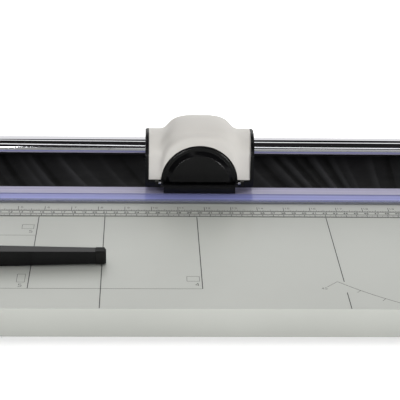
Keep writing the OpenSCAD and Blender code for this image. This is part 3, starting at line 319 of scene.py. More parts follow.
DIGITS = {
    "0": [bow(0.3, 0.5, 0.28, 0.48, 90, 450, 24)],
    "1": [line((0.1, 0.78), (0.34, 1), (0.34, 0))],
    "2": [np.concatenate([bow(0.3, 0.72, 0.27, 0.27, 170, -40), [[0.04, 0.03]]]), line((0, 0), (0.6, 0))],
    "3": [bow(0.27, 0.74, 0.25, 0.25, 150, -80), bow(0.27, 0.26, 0.3, 0.26, 85, -155)],
    "4": [line((0.44, 0), (0.44, 1), (0.0, 0.3), (0.6, 0.3))],
    "5": [line((0.55, 1), (0.1, 1), (0.07, 0.58)), bow(0.27, 0.31, 0.3, 0.31, 130, -150)],
    "6": [bow(0.3, 0.3, 0.28, 0.3, 90, 450, 20), bow(0.56, 0.34, 0.54, 0.66, 92, 178)],
    "7": [line((0.02, 1), (0.58, 1), (0.2, 0))],
    "8": [bow(0.3, 0.75, 0.23, 0.24, 90, 450, 18), bow(0.3, 0.26, 0.28, 0.26, 90, 450, 20)],
    "9": [bow(0.3, 0.7, 0.28, 0.3, 90, 450, 20), bow(0.04, 0.66, 0.54, 0.66, -88, -2)],
}


def number(value, x, y, height, pen, ink):
    """Strokes of a whole number, centred on (x, y), as ink on the table."""
    text = str(value)
    wide = DIGIT_STEP * (len(text) - 1) + DIGIT_WIDE
    parts = []
    for i, digit in enumerate(text):
        for stroke in DIGITS[digit]:
            flat = (stroke + [i * DIGIT_STEP - wide / 2, -0.5]) * height
            parts.append(ribbon(flat + [x, y], pen, ink))
    return parts


# Finishes

def add_node(tree, kind, values, **settings):
    """A shader node with its settings, and with each input set to a number or linked to another output."""
    node = tree.nodes.new("ShaderNode" + kind)
    for key, value in settings.items():
        setattr(node, key, value)
    for key, value in values.items():
        if isinstance(value, bpy.types.NodeSocket):
            tree.links.new(value, node.inputs[key])
        else:
            node.inputs[key].default_value = value
    return node


def calc(tree, operation, *values):
    """One step of reckoning with shader values: each is a number or another node's output."""
    return add_node(tree, "Math", dict(enumerate(values)), operation=operation).outputs["Value"]


def colour_ramp(tree, fac, stops):
    """Colours set out along a value: each stop is a place and a colour."""
    node = add_node(tree, "ValToRGB", {"Fac": fac})
    while len(node.color_ramp.elements) < len(stops):
        node.color_ramp.elements.new(0.5)
    for stop, (place, shade) in zip(node.color_ramp.elements, stops):
        stop.position = place
        stop.color = (*shade, 1)
    return node.outputs["Color"]


def levels(tree, fac, rows):
    """Grey levels set out along a value."""
    return colour_ramp(tree, fac, [(place, (level,) * 3) for place, level in rows])


class Finish:
    """A material under work: its shader, its node tree and the Object coordinates that its patterns read."""

    def __init__(self, name, colours, key, rough, metallic=0):
        self.material = bpy.data.materials.new(name)
        self.material.use_nodes = True
        self.tree = self.material.node_tree
        self.shader = self.tree.nodes["Principled BSDF"]
        self.colours, self.rough = colours, rough
        self.base = getattr(colours, key)[:]
        self.set("Base Color", (*self.base, 1))
        self.set("Roughness", rough)
        self.set("Metallic", metallic)
        self.place = self.add("TexCoord", {})["Object"]

    def set(self, socket, value):
        self.shader.inputs[socket].default_value = value

    def drive(self, socket, source):
        self.tree.links.new(source, self.shader.inputs[socket])

    def add(self, kind, values, **settings):
        return add_node(self.tree, kind, values, **settings).outputs

    def noise(self, scale, detail=3.0, rough=0.5, vector=None):
        """A cloudy pattern."""
        values = {"Vector": vector or self.place, "Scale": scale, "Detail": detail, "Roughness": rough}
        return self.add("TexNoise", values)["Fac"]

    def streaks(self, scale):
        """A cloudy pattern scaled along each axis."""
        vector = self.add("Mapping", {"Vector": self.place, "Scale": scale})["Vector"]
        return self.noise(1, 3, 0.6, vector)

    def ranged(self, fac, from_low, from_high, low=0.0, high=1.0):
        """A pattern's value carried from one range to another."""
        limits = {"From Min": from_low, "From Max": from_high, "To Min": low, "To Max": high}
        return self.add("MapRange", {"Value": fac, **limits})["Result"]

    def spread(self, fac, low, high, socket, source=(0.3, 0.7)):
        """Drives a number of the shader between two values by a pattern."""
        self.drive(socket, self.ranged(fac, *source, low, high))

    def tint(self, fac, darker, lighter, source=(0.3, 0.7)):
        """Drives the base colour between a darker and a lighter share of itself by a pattern."""
        shades = [tuple(min(1.0, c * share) for c in self.base) for share in (darker, lighter)]
        self.drive("Base Color", colour_ramp(self.tree, fac, list(zip(source, shades))))

    def bump(self, height, distance, strength=1.0, **normal):
        """Raises the look of the surface by a pattern, over another normal where one is given."""
        values = {"Height": height, "Distance": distance, "Strength": strength, **normal}
        self.drive("Normal", self.add("Bump", values)["Normal"])

    def soft_edges(self, radius):
        """The normal with sharp edges rounded by a small radius."""
        return self.add("Bevel", {"Radius": radius}, samples=4)["Normal"]


def powder_coat(f):
    """Pale grey powder coat: a faint cloudiness, fine pores and an orange-peel skin."""
    f.tint(f.noise(9, 4), 0.97, 1.03)
    f.spread(f.noise(420, 2), 0.29, 0.31, "Roughness")
    f.bump(f.noise(1500, 2), 0.002 * MM, 0.6)


def satin_plastic(f):
    """Moulded plastic: a fine spark-eroded grain, uneven in tint and gloss, with softened edges."""
    f.set("Specular IOR Level", 0.26)
    f.tint(f.noise(35, 4), 0.85, 1.15)
    f.spread(f.noise(60, 3), f.rough - 0.06, f.rough + 0.08, "Roughness")
    f.bump(f.noise(2600, 1), 0.012 * MM, 0.5, Normal=f.soft_edges(0.9 * MM))


def shell_plastic(f):
    """White moulded plastic with a satin skin and a slight cloudiness."""
    f.set("Specular IOR Level", 0.6)
    f.tint(f.noise(24, 3), 0.985, 1.015)
    f.spread(f.noise(90, 3), 0.45, 0.55, "Roughness")
    f.bump(f.noise(2200, 1), 0.008 * MM, 0.4)


# Zones of the clear strip: depths of its front edge, painted grey as shade, of its fade and of its raised
# rear lane, and the share of the deck's tint left in the groove before the lane as painted shade
SHADED_RIM_DEPTH, FADE_DEPTH, LANE_DEPTH = 1.6 * MM, 4 * MM, 16.6 * MM
GROOVE_PAINTED_SHADE = 0.55


def clear_plastic(f):
    """Tinted clear sheet: part see-through, clearer and painted grey as shade at its front edge, paler on
    its raised rear lane, with painted shade in the groove before the lane and long extrusion streaks in its
    tint and gloss."""
    # The rim colour paints shade at the front edge, and the groove's darker tint paints shade before the
    # lane
    rim, deck, lane = f.colours.rim[:], f.base, f.colours.lane[:]
    f.set("IOR", 1.49)
    streak = f.streaks((2.5, 330, 100))
    f.spread(streak, 0.1, 0.22, "Roughness")
    deep = STRIP_HIGH.y - STRIP_LOW.y
    step = 1 - LANE_DEPTH / deep
    front = SHADED_RIM_DEPTH / deep
    groove = tuple(GROOVE_PAINTED_SHADE * c for c in deck)
    depth = f.add("SeparateXYZ", {"Vector": f.place})["Y"]
    f.spread(depth, 0.3, 0.68, "Alpha", (STRIP_LOW.y, STRIP_LOW.y + FADE_DEPTH))
    # Painted shade: grey in the rim zone and darker in the groove before the lane
    stops = ((front, rim), (front + 0.09, deck), (step - 0.05, deck), (step - 0.03, groove),
             (step + 0.01, groove), (step + 0.03, lane))
    zone = colour_ramp(f.tree, f.ranged(depth, STRIP_LOW.y, STRIP_HIGH.y), stops)
    shade = levels(f.tree, streak, ((0.35, 0.8), (0.65, 1.0)))
    both = f.add("Mix", {"Factor": 1.0, "A": zone, "B": shade}, data_type="RGBA", blend_type="MULTIPLY")
    f.drive("Base Color", both["Result"])


def drawn_metal(f, strength=0.4):
    """Metal with fine scratches along X, from its drawing, grinding or brushing."""
    streak = f.streaks((2, 1400, 1400))
    f.tint(streak, 0.9, 1.06)
    f.spread(streak, f.rough * 0.75, f.rough * 1.35, "Roughness")
    f.bump(streak, 0.004 * MM, strength)


def polished_metal(f):
    """Drawn metal with fainter scratches."""
    drawn_metal(f, 0.1)


def turned_metal(f):
    """Metal with fine rings about the wheel's axle, from its turning or grinding."""
    moved = f.add("Mapping", {"Vector": f.place, "Location": -AXLE})["Vector"]
    values = {"Vector": moved, "Scale": 260, "Distortion": 1.5}
    rings = f.add("TexWave", values, wave_type="RINGS", rings_direction="Y")["Fac"]
    f.tint(rings, 0.9, 1.06, (0.0, 1.0))
    f.spread(rings, f.rough * 0.8, f.rough * 1.25, "Roughness", (0.0, 1.0))


def matt_rubber(f):
    """Dull black rubber with a dusty bloom."""
    f.set("Specular IOR Level", 0.2)
    f.tint(f.noise(140, 4), 0.8, 1.35)
    f.bump(f.noise(1800, 2), 0.03 * MM, 0.6)


def felt_mat(f):
    """Pressed felt: matted fibres in colour and bump."""
    f.set("Sheen Weight", 0.3)
    f.tint(f.noise(900, 5, 0.7), 0.7, 1.3)
    f.bump(f.noise(1400, 4), 0.15 * MM)


def woven_cloth(f):
    """Black woven nylon: crossing threads from its UV map, painted sheen on crease ridges, painted shade in
    hollows.
    """
    f.set("Specular IOR Level", 0.03)
    values = {"Vector": f.add("UVMap", {}, uv_map="weave")["UV"], "Scale": 480, "Distortion": 0.4}
    threads = [f.add("TexWave", values, wave_type="BANDS", bands_direction=run)["Fac"] for run in "XY"]
    # Painted sheen on the crease ridges and painted shade in their hollows, read from the crease attribute
    f.tint(f.add("Attribute", {}, attribute_name="crease")["Fac"], 0.2, 5.5, (0.0, 1.0))
    f.spread(f.noise(60, 3), 0.4, 0.58, "Roughness")
    f.bump(calc(f.tree, "MULTIPLY", *threads), 0.05 * MM, 0.5)


def printed_ink(f):
    """Screen-printed ink: slightly uneven in density."""
    f.tint(f.noise(700, 3), 0.8, 1.25)


# Finishes of the record's slots, the wheel and the print: slot, material, colour, roughness, metal, recipe
RECIPES = (
    ("table_paint", "table_paint", "table", 0.3, 0, powder_coat),
    ("scale_face", "scale_film", "table", 0.3, 0, powder_coat),
    ("black_plastic", "black_plastic", "black", 0.2, 0, satin_plastic),
    ("shell_white", "shell_white", "shell", 0.5, 0, shell_plastic),
    ("violet_clear", "violet_clear", "clear", 0.16, 0, clear_plastic),
    ("bush_plastic", "bush_plastic", "bush", 0.45, 0, satin_plastic),
    ("chrome", "chrome", "chrome", 0.06, 1, polished_metal),
    ("steel", "ground_steel", "steel", 0.28, 1, drawn_metal),
    ("wheel_steel", "wheel_steel", "steel", 0.25, 1, turned_metal),
    ("aluminium", "satin_aluminium", "aluminium", 0.36, 1, drawn_metal),
    ("brass", "turned_brass", "brass", 0.25, 1, drawn_metal),
    ("felt", "wiper_felt", "felt", 0.95, 0, felt_mat),
    ("black_cloth", "black_cloth", "cloth", 0.5, 0, woven_cloth),
    ("rubber", "black_rubber", "rubber", 0.55, 0, matt_rubber),
    ("ink", "print_ink", "ink", 0.55, 0, printed_ink),
)
# The materials by slot, once their operator has run
FINISHES = {}


def dress(piece, body, slot, material=None):
    """Gives a new piece its finish, its slot and the body that it rides on."""
    name = material or slot
    if name not in FINISHES:
        raise RuntimeError(f"no finish named {name}: run the finishes first")
    piece.data.materials.append(FINISHES[name])
    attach(piece, body)


class TRIMMER_OT_finishes(bpy.types.Operator):
    """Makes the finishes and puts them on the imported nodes"""

    bl_idname = "trimmer.finishes"
    bl_label = "Finishes"

    def execute(self, context):
        for slot, name, key, rough, metallic, recipe in RECIPES:
            finish = Finish(name, context.scene.trimmer_colours, key, rough, metallic)
            recipe(finish)
            FINISHES[slot] = finish.material
        for row in frame["record"]["subparts"]:
            mesh = frame["nodes"][row["node"]].data
            mesh.materials.clear()
            slot = "wheel_steel" if row["node"] == "cutting_wheel" else row["material_slot"]
            mesh.materials.append(FINISHES[slot])
        return {"FINISHED"}


def smooth_union(one, other, fillet):
    """The lesser of two distances, with a hollow of the given width where they meet."""
    share = np.clip(0.5 + 0.5 * (one - other) / fillet, 0, 1)
    return one + (other - one) * share - fillet * share * (1 - share)


def smooth_cut(one, other, rounding):
    """The greater of two distances, with a rounded edge of the given width where they meet."""
    return -smooth_union(-one, -other, rounding)


def arch_gap(x, up, half, tall, power):
    """How far a point lies outside an arch: a superellipse less one, over its own slope."""
    wide, high = np.abs(x) / half, up / tall
    section = (wide ** power + high ** power) ** (1 / power)
    slope = np.hypot(wide ** (power - 1) / half, high ** (power - 1) / tall)
    steep = slope / np.maximum(section, 1e-6) ** (power - 1)
    return (section - 1) / np.maximum(steep, 1e-3)


def bell_gap(x, y, up, sizes):
    """How far a point lies outside the bell: an arch with straight flanks, cut by a crown that falls to the
    front and to the rear, and by a flat front."""
    arch = arch_gap(x, up, sizes.bell_half, sizes.bell_tall, sizes.arch_power)
    front = y < sizes.bell_mid
    n = np.where(front, sizes.front_power, sizes.rear_power)
    depth = np.abs(y - sizes.bell_mid) / np.where(front, sizes.bell_front, sizes.bell_rear)
    out = np.maximum((up - sizes.bell_crown) / sizes.bell_rise + 1, 0)
    crown = ((out ** n + depth ** n) ** (1 / n) - 1) * sizes.bell_rise
    return smooth_cut(smooth_cut(arch, crown, sizes.bell_round), sizes.bell_inset - y, sizes.bell_edge)


def lip_gap(x, y, up, sizes):
    """How far a point lies outside the lip: a low arch with a rounded front edge."""
    r = sizes.lip_round
    edge = arch_gap(x, up, sizes.bell_half, sizes.lip_tall, sizes.arch_power)
    rounded = np.hypot(np.maximum(edge + r, 0), np.maximum(sizes.lip_inset + r - y, 0)) - r
    return np.maximum(rounded, y - sizes.lip_inset - sizes.lip_depth)


def shell_gap(x, y, z, sizes):
    """How far a point lies outside the shell: a smooth union of the shoulders, the bell and the lip. The
    shoulders are a box with rounded upper edges, whose front comes forward evenly to the cheeks and flares
    below by the square of the height."""
    r = sizes.shoulder_round
    front, rear = SHELL_LOW.y - CUT_Y, SHELL_HIGH.y - CUT_Y
    flare = np.clip((sizes.flare_top - z) / (sizes.flare_top - SHELL_LOW.z + TOP_Z), 0, 1) ** 2
    outward = np.clip((np.abs(x) - sizes.bell_half) / (SHELL_HALF - sizes.bell_half), 0, 1)
    inset = sizes.shoulder_inset + (sizes.cheek_inset - sizes.shoulder_inset) * outward
    low = front + inset + (sizes.flare_inset - inset) * flare
    side = np.maximum(np.abs(y - (low + rear) / 2) - (rear - low) / 2 + r, 0)
    rise = np.maximum(z - (sizes.shoulder_top - r), 0)
    shoulders = np.hypot(side, rise) - r
    up = np.maximum(z - sizes.bell_axis, 0)
    body = smooth_union(shoulders, bell_gap(x, y - front, up, sizes), sizes.fillet)
    return smooth_union(body, lip_gap(x, y - front, up, sizes), sizes.lip_fillet)


# The line along X from which the shell's surface is measured, behind the cutting edge and above the table,
# and its distances to the shell's rear and to a place outside the whole shell
SHELL_MID_Y, SHELL_MID_Z = 13 * MM, 22 * MM
SHELL_REAR, SHELL_OUTSIDE = 23 * MM, 90 * MM
# How often a ray's length and the front edge's angle are halved, and the angle's limits
RAY_HALVINGS, EDGE_HALVINGS = 40, 24
EDGE_ANGLES = (-0.6, 1.4)
# Columns over the arched opening and over each shoulder, and rows from the front edge to the rear edge
ARCH_COLUMNS, SHOULDER_COLUMNS, SHELL_ROWS = 73, 8, 90


def shell_radius(x, angle, sizes, inset):
    """Distance from a line along X inside the shell to its surface, by halving the ray at each angle."""
    low = np.zeros(np.broadcast(x, angle).shape)
    high = np.full(low.shape, SHELL_OUTSIDE)
    for _ in range(RAY_HALVINGS):
        half = (low + high) / 2
        y = SHELL_MID_Y - half * np.cos(angle)
        z = SHELL_MID_Z + half * np.sin(angle)
        inside = shell_gap(x, y, z, sizes) < -inset
        low = np.where(inside, half, low)
        high = np.where(inside, high, half)
    return (low + high) / 2


def shell_grid(sizes, inset, edge_low):
    """Points of the shell's surface: columns along X, rows by angle from the arched front edge over the top
    to the rear edge. The columns follow the arch's own angle, so that its edge is evenly set."""
    foot = math.sqrt(sizes.opening ** 2 - (edge_low - sizes.bell_axis) ** 2)
    arch = -foot * np.cos(np.linspace(0, np.pi, ARCH_COLUMNS))
    shoulder = np.linspace(-SHELL_HALF, -foot, SHOULDER_COLUMNS + 1)[:-1]
    x = np.concatenate([shoulder, arch, -shoulder[::-1]])[:, None]
    edge = sizes.bell_axis + np.sqrt(np.maximum(sizes.opening ** 2 - x ** 2, 0))
    edge = np.where(np.abs(x) < foot, np.maximum(edge, edge_low), edge_low)
    low, high = (np.full(x.shape, limit) for limit in EDGE_ANGLES)
    for _ in range(EDGE_HALVINGS):
        first = (low + high) / 2
        below = SHELL_MID_Z + shell_radius(x, first, sizes, inset) * np.sin(first) < edge
        low, high = np.where(below, first, low), np.where(below, high, first)
    last = np.pi + np.arctan2(SHELL_MID_Z - edge_low, SHELL_REAR - inset)
    angle = first + (last - first) * np.linspace(0, 1, SHELL_ROWS)[None, :]
    reach = shell_radius(x, angle, sizes, inset)
    return np.stack([np.broadcast_to(x + HEAD_X, angle.shape), CUT_Y + SHELL_MID_Y - reach * np.cos(angle),
                     TOP_Z + SHELL_MID_Z + reach * np.sin(angle)], -1)


class TRIMMER_OT_head_shell(bpy.types.Operator):
    """Builds the white shell of the cutting head"""

    bl_idname = "trimmer.head_shell"
    bl_label = "Head shell"

    def execute(self, context):
        sizes = context.scene.trimmer_shell
        edge_low = SHELL_LOW.z - TOP_Z
        outer, inner = (shell_grid(sizes, inset, edge_low) for inset in (0.0, sizes.wall))
        piece = add_mesh("white_shell", *thick_sheet(outer, inner), sharp=50)
        dress(piece, "head", "shell_white")
        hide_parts("head_shell")
        return {"FINISHED"}


# The cloth's path, from the cutting edge and the table top: the hem's place, top and end on the beam, the
# rod with the cloth's radius and turn in degrees round it, and the hanging curve's depth and two controls
HEM_Y, HEM_TOP, HEM_LOW = -0.8 * MM, -10 * MM, -15 * MM
ROD_Y, ROD_Z, ROD_WRAP, ROD_TURN = 136 * MM, -10 * MM, 5 * MM, 200
SAG_Z, SAG_NEAR, SAG_FAR = -28.5 * MM, HEM_Y + 6 * MM, 0.65 * ROD_Y
# Columns along the cut, and rows on the hem, on the hanging curve and round the rod
CLOTH_COLUMNS = 720
HEM_ROWS, SAG_ROWS, WRAP_ROWS = 5, 47, 15
# Slant and share of the main folds, power of the curve by which they die out, share of the lift that goes
# sideways, and the painted sheen of the flat cloth, which crease ridges raise and hollows lower as painted
# shade
FOLD_SLANT, FOLD_SHARE, FOLD_POWER = 0.37, 0.75, 0.8
LIFT_ASIDE, FLAT_SHEEN = 0.3, 0.22
# Lean of the creases at the far left and right, and the place and half width of the change between them
LEFT_LEAN, RIGHT_LEAN = 0.45, -0.11
LEAN_MIDDLE, LEAN_CHANGE = 150 * MM, 60 * MM
# Creases in millimetres: place along X at the given distance behind the cut, and share of a full crease
CREASE_LINE = 100 * MM
CREASES = (
    (-344, 0.5), (-330, 0.8), (-312, 0.4), (-296, -0.6), (-268, 0.9), (-254, 0.4), (-232, 0.6),
    (-213, -0.5), (-195, -1.0), (-178, 0.5), (-167, 0.9), (-158, -0.4), (-136, 1.0), (-118, 0.3),
    (-92, 0.4), (-70, -0.3), (-48, 0.5), (-20, 0.3), (8, 0.6), (36, 0.4), (62, 0.4), (78, -0.4),
    (90, 0.7), (97, -0.6), (104, 0.8), (114, -0.7), (126, -0.9), (134, 1.1), (146, -0.6), (152, 0.6),
    (163, 0.4), (188, 0.6), (206, -0.5), (222, 0.4), (236, -0.6), (244, 0.7), (262, 0.4), (283, 0.9),
    (291, -0.5), (308, 0.5), (322, 0.7), (337, -0.5),
)


def cloth_creases(x, y, sizes):
    """Height of the creases: for each a bell curve, steep on one side and slack on the other, across a line
    whose lean changes from left to right by a smooth step."""
    place, share = np.array(CREASES).T
    change = np.tanh((x - LEAN_MIDDLE) / LEAN_CHANGE)
    lean = (LEFT_LEAN + RIGHT_LEAN) / 2 + (RIGHT_LEAN - LEFT_LEAN) / 2 * change
    off = (x + lean * (y - CREASE_LINE))[..., None] - place * MM
    width = np.where(off > 0, sizes.steep, sizes.slack)
    return sizes.crease * (share * np.exp(-(off / width) ** 2)).sum(-1)


def cloth_path():
    """The cloth seen from the side, as three runs of close points: the hem down the beam, a cubic curve to
    the rear and a turn round the rod."""
    hem_steps, sag_steps, wrap_steps = 12, 240, 39
    t = np.linspace(0, 1, sag_steps)[:, None]
    a, b = np.array([HEM_Y, HEM_LOW]), np.array([SAG_NEAR, SAG_Z])
    c, d = np.array([SAG_FAR, SAG_Z]), np.array([ROD_Y, ROD_Z - ROD_WRAP])
    sag = (1 - t) ** 3 * a + 3 * (1 - t) ** 2 * t * b + 3 * (1 - t) * t ** 2 * c + t ** 3 * d
    hem = np.column_stack([np.full(hem_steps, HEM_Y), np.linspace(HEM_TOP, HEM_LOW, hem_steps + 1)[:-1]])
    turn = np.radians(np.linspace(0, ROD_TURN, wrap_steps + 1)[1:] - 90)
    wrapped = np.column_stack([ROD_Y + ROD_WRAP * np.cos(turn), ROD_Z + ROD_WRAP * np.sin(turn)])
    return hem, sag, wrapped


def cloth_grid(sizes):
    """The cloth as a grid along the cut and along its path, each point lifted along the upward normal by
    slanting folds, a sine wave, and by creases. Both die out at the ends of the hanging curve."""
    half = (CLOTH_HIGH.x - CLOTH_LOW.x) / 2
    x = np.linspace(-half, half, CLOTH_COLUMNS)[:, None]
    hem, sag, wrapped = cloth_path()
    path = np.concatenate([hem, sag, wrapped])
    far = np.concatenate([[0], np.cumsum(np.linalg.norm(np.diff(path, axis=0), axis=1))])
    start, stop = far[len(hem)], far[len(hem) + len(sag) - 1]
    s = np.concatenate([np.linspace(0, start, HEM_ROWS + 1)[:-1],
                        np.linspace(start, stop, SAG_ROWS + 1)[:-1],
                        np.linspace(stop, far[-1], WRAP_ROWS)])
    y, z = np.interp(s, far, path[:, 0]), np.interp(s, far, path[:, 1])
    free = np.clip((s - start) / (stop - start), 0, 1)
    swell = np.sin(np.pi * free) ** FOLD_POWER * (free > 0) * (free < 1)
    slope = unit(np.gradient(np.column_stack([y, z]), axis=0))
    folds = sizes.fold * np.sin(2 * np.pi * (x + FOLD_SLANT * y) / sizes.pitch)
    creases = swell * cloth_creases(x, y, sizes)
    lift = swell * FOLD_SHARE * folds + creases
    middle = np.stack([np.broadcast_to(x, lift.shape), CUT_Y + y - slope[:, 1] * lift * LIFT_ASIDE,
                       TOP_Z + z + slope[:, 0] * lift], -1)
    # The last value paints sheen on the crease ridges and shade in their hollows, for the cloth's colour
    return middle, s, np.clip(FLAT_SHEEN + creases / sizes.crease, 0, 1)


class TRIMMER_OT_catch_cloth(bpy.types.Operator):
    """Builds the black cloth that catches the strips"""

    bl_idname = "trimmer.catch_cloth"
    bl_label = "Catch cloth"

    def execute(self, context):
        sizes = context.scene.trimmer_cloth
        middle, run, crease_sheen = cloth_grid(sizes)
        width = float(CLOTH_HIGH.x - CLOTH_LOW.x)
        away = grid_normals(middle) * sizes.thickness / 2
        piece = add_mesh("catch_sling", *thick_sheet(middle + away, middle - away), sharp=60)
        add_weave(piece, np.linspace(0, width, len(middle)), run)
        # The crease attribute holds painted sheen on the ridges and painted shade in the hollows
        sheen_layer = piece.data.attributes.new("crease", "FLOAT", "POINT")
        sheen_layer.data.foreach_set("value", np.tile(crease_sheen.ravel(), 2).astype(np.float32))
        dress(piece, "base", "black_cloth")
        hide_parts("catch_cloth")
        return {"FINISHED"}


def add_weave(piece, across, along):
    """A UV map in metres of flat cloth: the same for both faces of the sheet."""
    flat = np.stack(np.meshgrid(across, along, indexing="ij"), -1).reshape(-1, 2)
    both = np.concatenate([flat, flat])
    mesh = piece.data
    corner = np.zeros(len(mesh.loops), np.int32)
    mesh.loops.foreach_get("vertex_index", corner)
    mesh.uv_layers.new(name="weave").data.foreach_set("uv", both[corner].astype(np.float32).ravel())


# Table print, in millimetres from the scale's zero and from the cut. Lines away from the cut: place, start
# and end. Lines along the cut: distance and end.
PRINT_NEAR, PRINT_FAR = 63.4, 245.0
AWAY_LINES = (
    (105, PRINT_NEAR, 148), (148, PRINT_NEAR, 210), (210, PRINT_NEAR, PRINT_FAR), (297, PRINT_NEAR, 210),
    (594, PRINT_NEAR, PRINT_FAR), (420, PRINT_NEAR, 196), (420, 216, PRINT_FAR),
)
ALONG_START = 0.5
ALONG_LINES = ((105, 148), (148, 105), (210, 297))
# Page marks: place, width, depth, share of the width at which the size stands, and size; then the gap to
# the size's digit and the digit's height
PAGE_MARKS = ((134, 82, 10.8, 9, 0.8, 5), (284, 187, 10.8, 9, 0.8, 4), (137.8, 183.5, 6.9, 15, 0.5, 5))
PAGE_GAP, PAGE_DIGIT = 6, 5.2 * MM
# Angle scale: centre along the scale and radius, first angle and step in degrees, points of its arc, reach
# of the first tick and of the others, and gap and height of the first angle's number
DIAL_CENTRE, DIAL_RADIUS = 610.0, 277.0
DIAL_FIRST, DIAL_STEP, DIAL_POINTS = 45, 5, 40
DIAL_LONG, DIAL_SHORT = 14, 5
DIAL_GAP, DIAL_DIGIT = 18, 3.4 * MM
# The print starts a little above the surface. Pens in thin lines: that of the page marks and a bold one
INK_GAP = 0.01 * MM
MARK_PEN, BOLD = 1.2, 1.3


def table_point(x, d):
    """A place on the table, from the scale's zero and the cutting edge."""
    return np.array([SCALE_ZERO + x * MM, CUT_Y - d * MM])


def table_line(x0, d0, x1, d1, width, ink):
    """A straight line of ink between two places on the table."""
    return ribbon(np.array([table_point(x0, d0), table_point(x1, d1)]), width, ink)


def page_mark(x, d, wide, deep, share, value, pen, ink):
    """A small outline of a page with its size below it, at a share of its width."""
    corners = [(x, d), (x + wide, d), (x + wide, d + deep), (x, d + deep), (x, d)]
    parts = [table_line(*p, *q, pen, ink) for p, q in zip(corners[:-1], corners[1:])]
    at = table_point(x + wide * share, d + deep + PAGE_GAP)
    return parts + number(value, *at, PAGE_DIGIT, pen * BOLD, ink)


def dial_place(angle, past=0):
    """A place on the angle scale's arc or past it, by the cosine and the sine of its angle."""
    radius = DIAL_RADIUS + past
    return DIAL_CENTRE - radius * np.cos(angle), radius * np.sin(angle)


class TRIMMER_OT_table_print(bpy.types.Operator):
    """Prints the paper-size lines and the angle scale on the table"""

    bl_idname = "trimmer.table_print"
    bl_label = "Table print"

    def execute(self, context):
        sizes = context.scene.trimmer_print
        ink = TOP_Z + INK_GAP, TOP_Z + sizes.ink
        thin = sizes.thin * BOLD
        parts = [table_line(x, start, x, stop, sizes.line, ink) for x, start, stop in AWAY_LINES]
        parts += [table_line(ALONG_START, d, stop, d, thin, ink) for d, stop in ALONG_LINES]
        for mark in PAGE_MARKS:
            parts += page_mark(*mark, sizes.thin * MARK_PEN, ink)
        last = math.degrees(math.asin(PRINT_FAR / DIAL_RADIUS))
        angles = np.radians(np.linspace(DIAL_FIRST, last, DIAL_POINTS))
        parts.append(ribbon(table_point(*dial_place(angles)).T, thin * BOLD, ink))
        for degrees in range(DIAL_FIRST, int(last) + 1, DIAL_STEP):
            angle = math.radians(degrees)
            reach = DIAL_LONG if degrees == DIAL_FIRST else DIAL_SHORT
            parts.append(table_line(*dial_place(angle), *dial_place(angle, reach), thin, ink))
        at = table_point(*dial_place(math.radians(DIAL_FIRST), DIAL_GAP))
        parts += number(DIAL_FIRST, *at, DIAL_DIGIT, sizes.thin, ink)
        piece = add_mesh("table_lines", *joined(parts), sharp=30)
        dress(piece, "base", "table_paint", "ink")
        return {"FINISHED"}


# Scale print, in millimetres from the scale's zero and from the cut: its end, an inch, and the long lines
# under the millimetres, their numbers and the inches, with their widths
SCALE_END = 610
INCH = 25.4
MM_LINE, NUMBER_LINE, INCH_LINE = 63.1, 57.4, 50.7
SCALE_LINES = ((MM_LINE, 1.0), (NUMBER_LINE, 1.0), (INCH_LINE, 1.1))
# Ticks: line on which they stand, step, and kinds: every so many, reach, and width in thin lines
SCALE_TICKS = (
    (MM_LINE, 1, ((10, 4.6, 2.2), (5, 3.6, 1.4), (1, 2.4, 1.4))),
    (INCH_LINE, INCH / 16, ((16, 9.4, 1.9), (8, 4.4, 1.3), (4, 3.4, 1.3), (1, 2.2, 1.3))),
)
# Numbers: step, place past the tick, distance, height in digits and pen in thin lines
SCALE_NUMBERS = ((10, 0, 54.25, 0.95, 2.0), (INCH, 3.4, 43.5, 1.1, 1.2))


def tick_size(count, kinds):
    """Reach and width of a tick: those of the first kind whose every so many divides its count."""
    return next((reach, width) for every, reach, width in kinds if count % every == 0)


class TRIMMER_OT_scale_print(bpy.types.Operator):
    """Prints the inch and centimetre scales on the scale strip"""

    bl_idname = "trimmer.scale_print"
    bl_label = "Scale print"

    def execute(self, context):
        sizes = context.scene.trimmer_print
        ink = SCALE_HIGH.z + INK_GAP, SCALE_HIGH.z + sizes.ink
        parts = []
        for d, step, kinds in SCALE_TICKS:
            for i in range(int(SCALE_END / step) + 1):
                reach, width = tick_size(i, kinds)
                parts.append(table_line(i * step, d - reach, i * step, d, sizes.thin * width, ink))
        for d, width in SCALE_LINES:
            parts.append(table_line(0, d, SCALE_END, d, width * MM, ink))
        for step, past, d, tall, pen in SCALE_NUMBERS:
            for i in range(1, int(SCALE_END / step) + 1):
                at = table_point(i * step + past, d)
                parts += number(i, *at, sizes.digit * tall, sizes.thin * pen, ink)
        piece = add_mesh("scale_print", *joined(parts), sharp=30)
        dress(piece, "base", "scale_face", "ink")
        return {"FINISHED"}


# Springs of the clamp and of the wheel
CLAMP_COIL = {"radius": 2.2 * MM, "wire": 0.6 * MM, "turns": 5}
WHEEL_COIL = {"radius": 5.1 * MM, "wire": 1.0 * MM, "turns": 2.6}
# Half the width of a guide pin's head
PIN_HEAD = 2.4 * MM


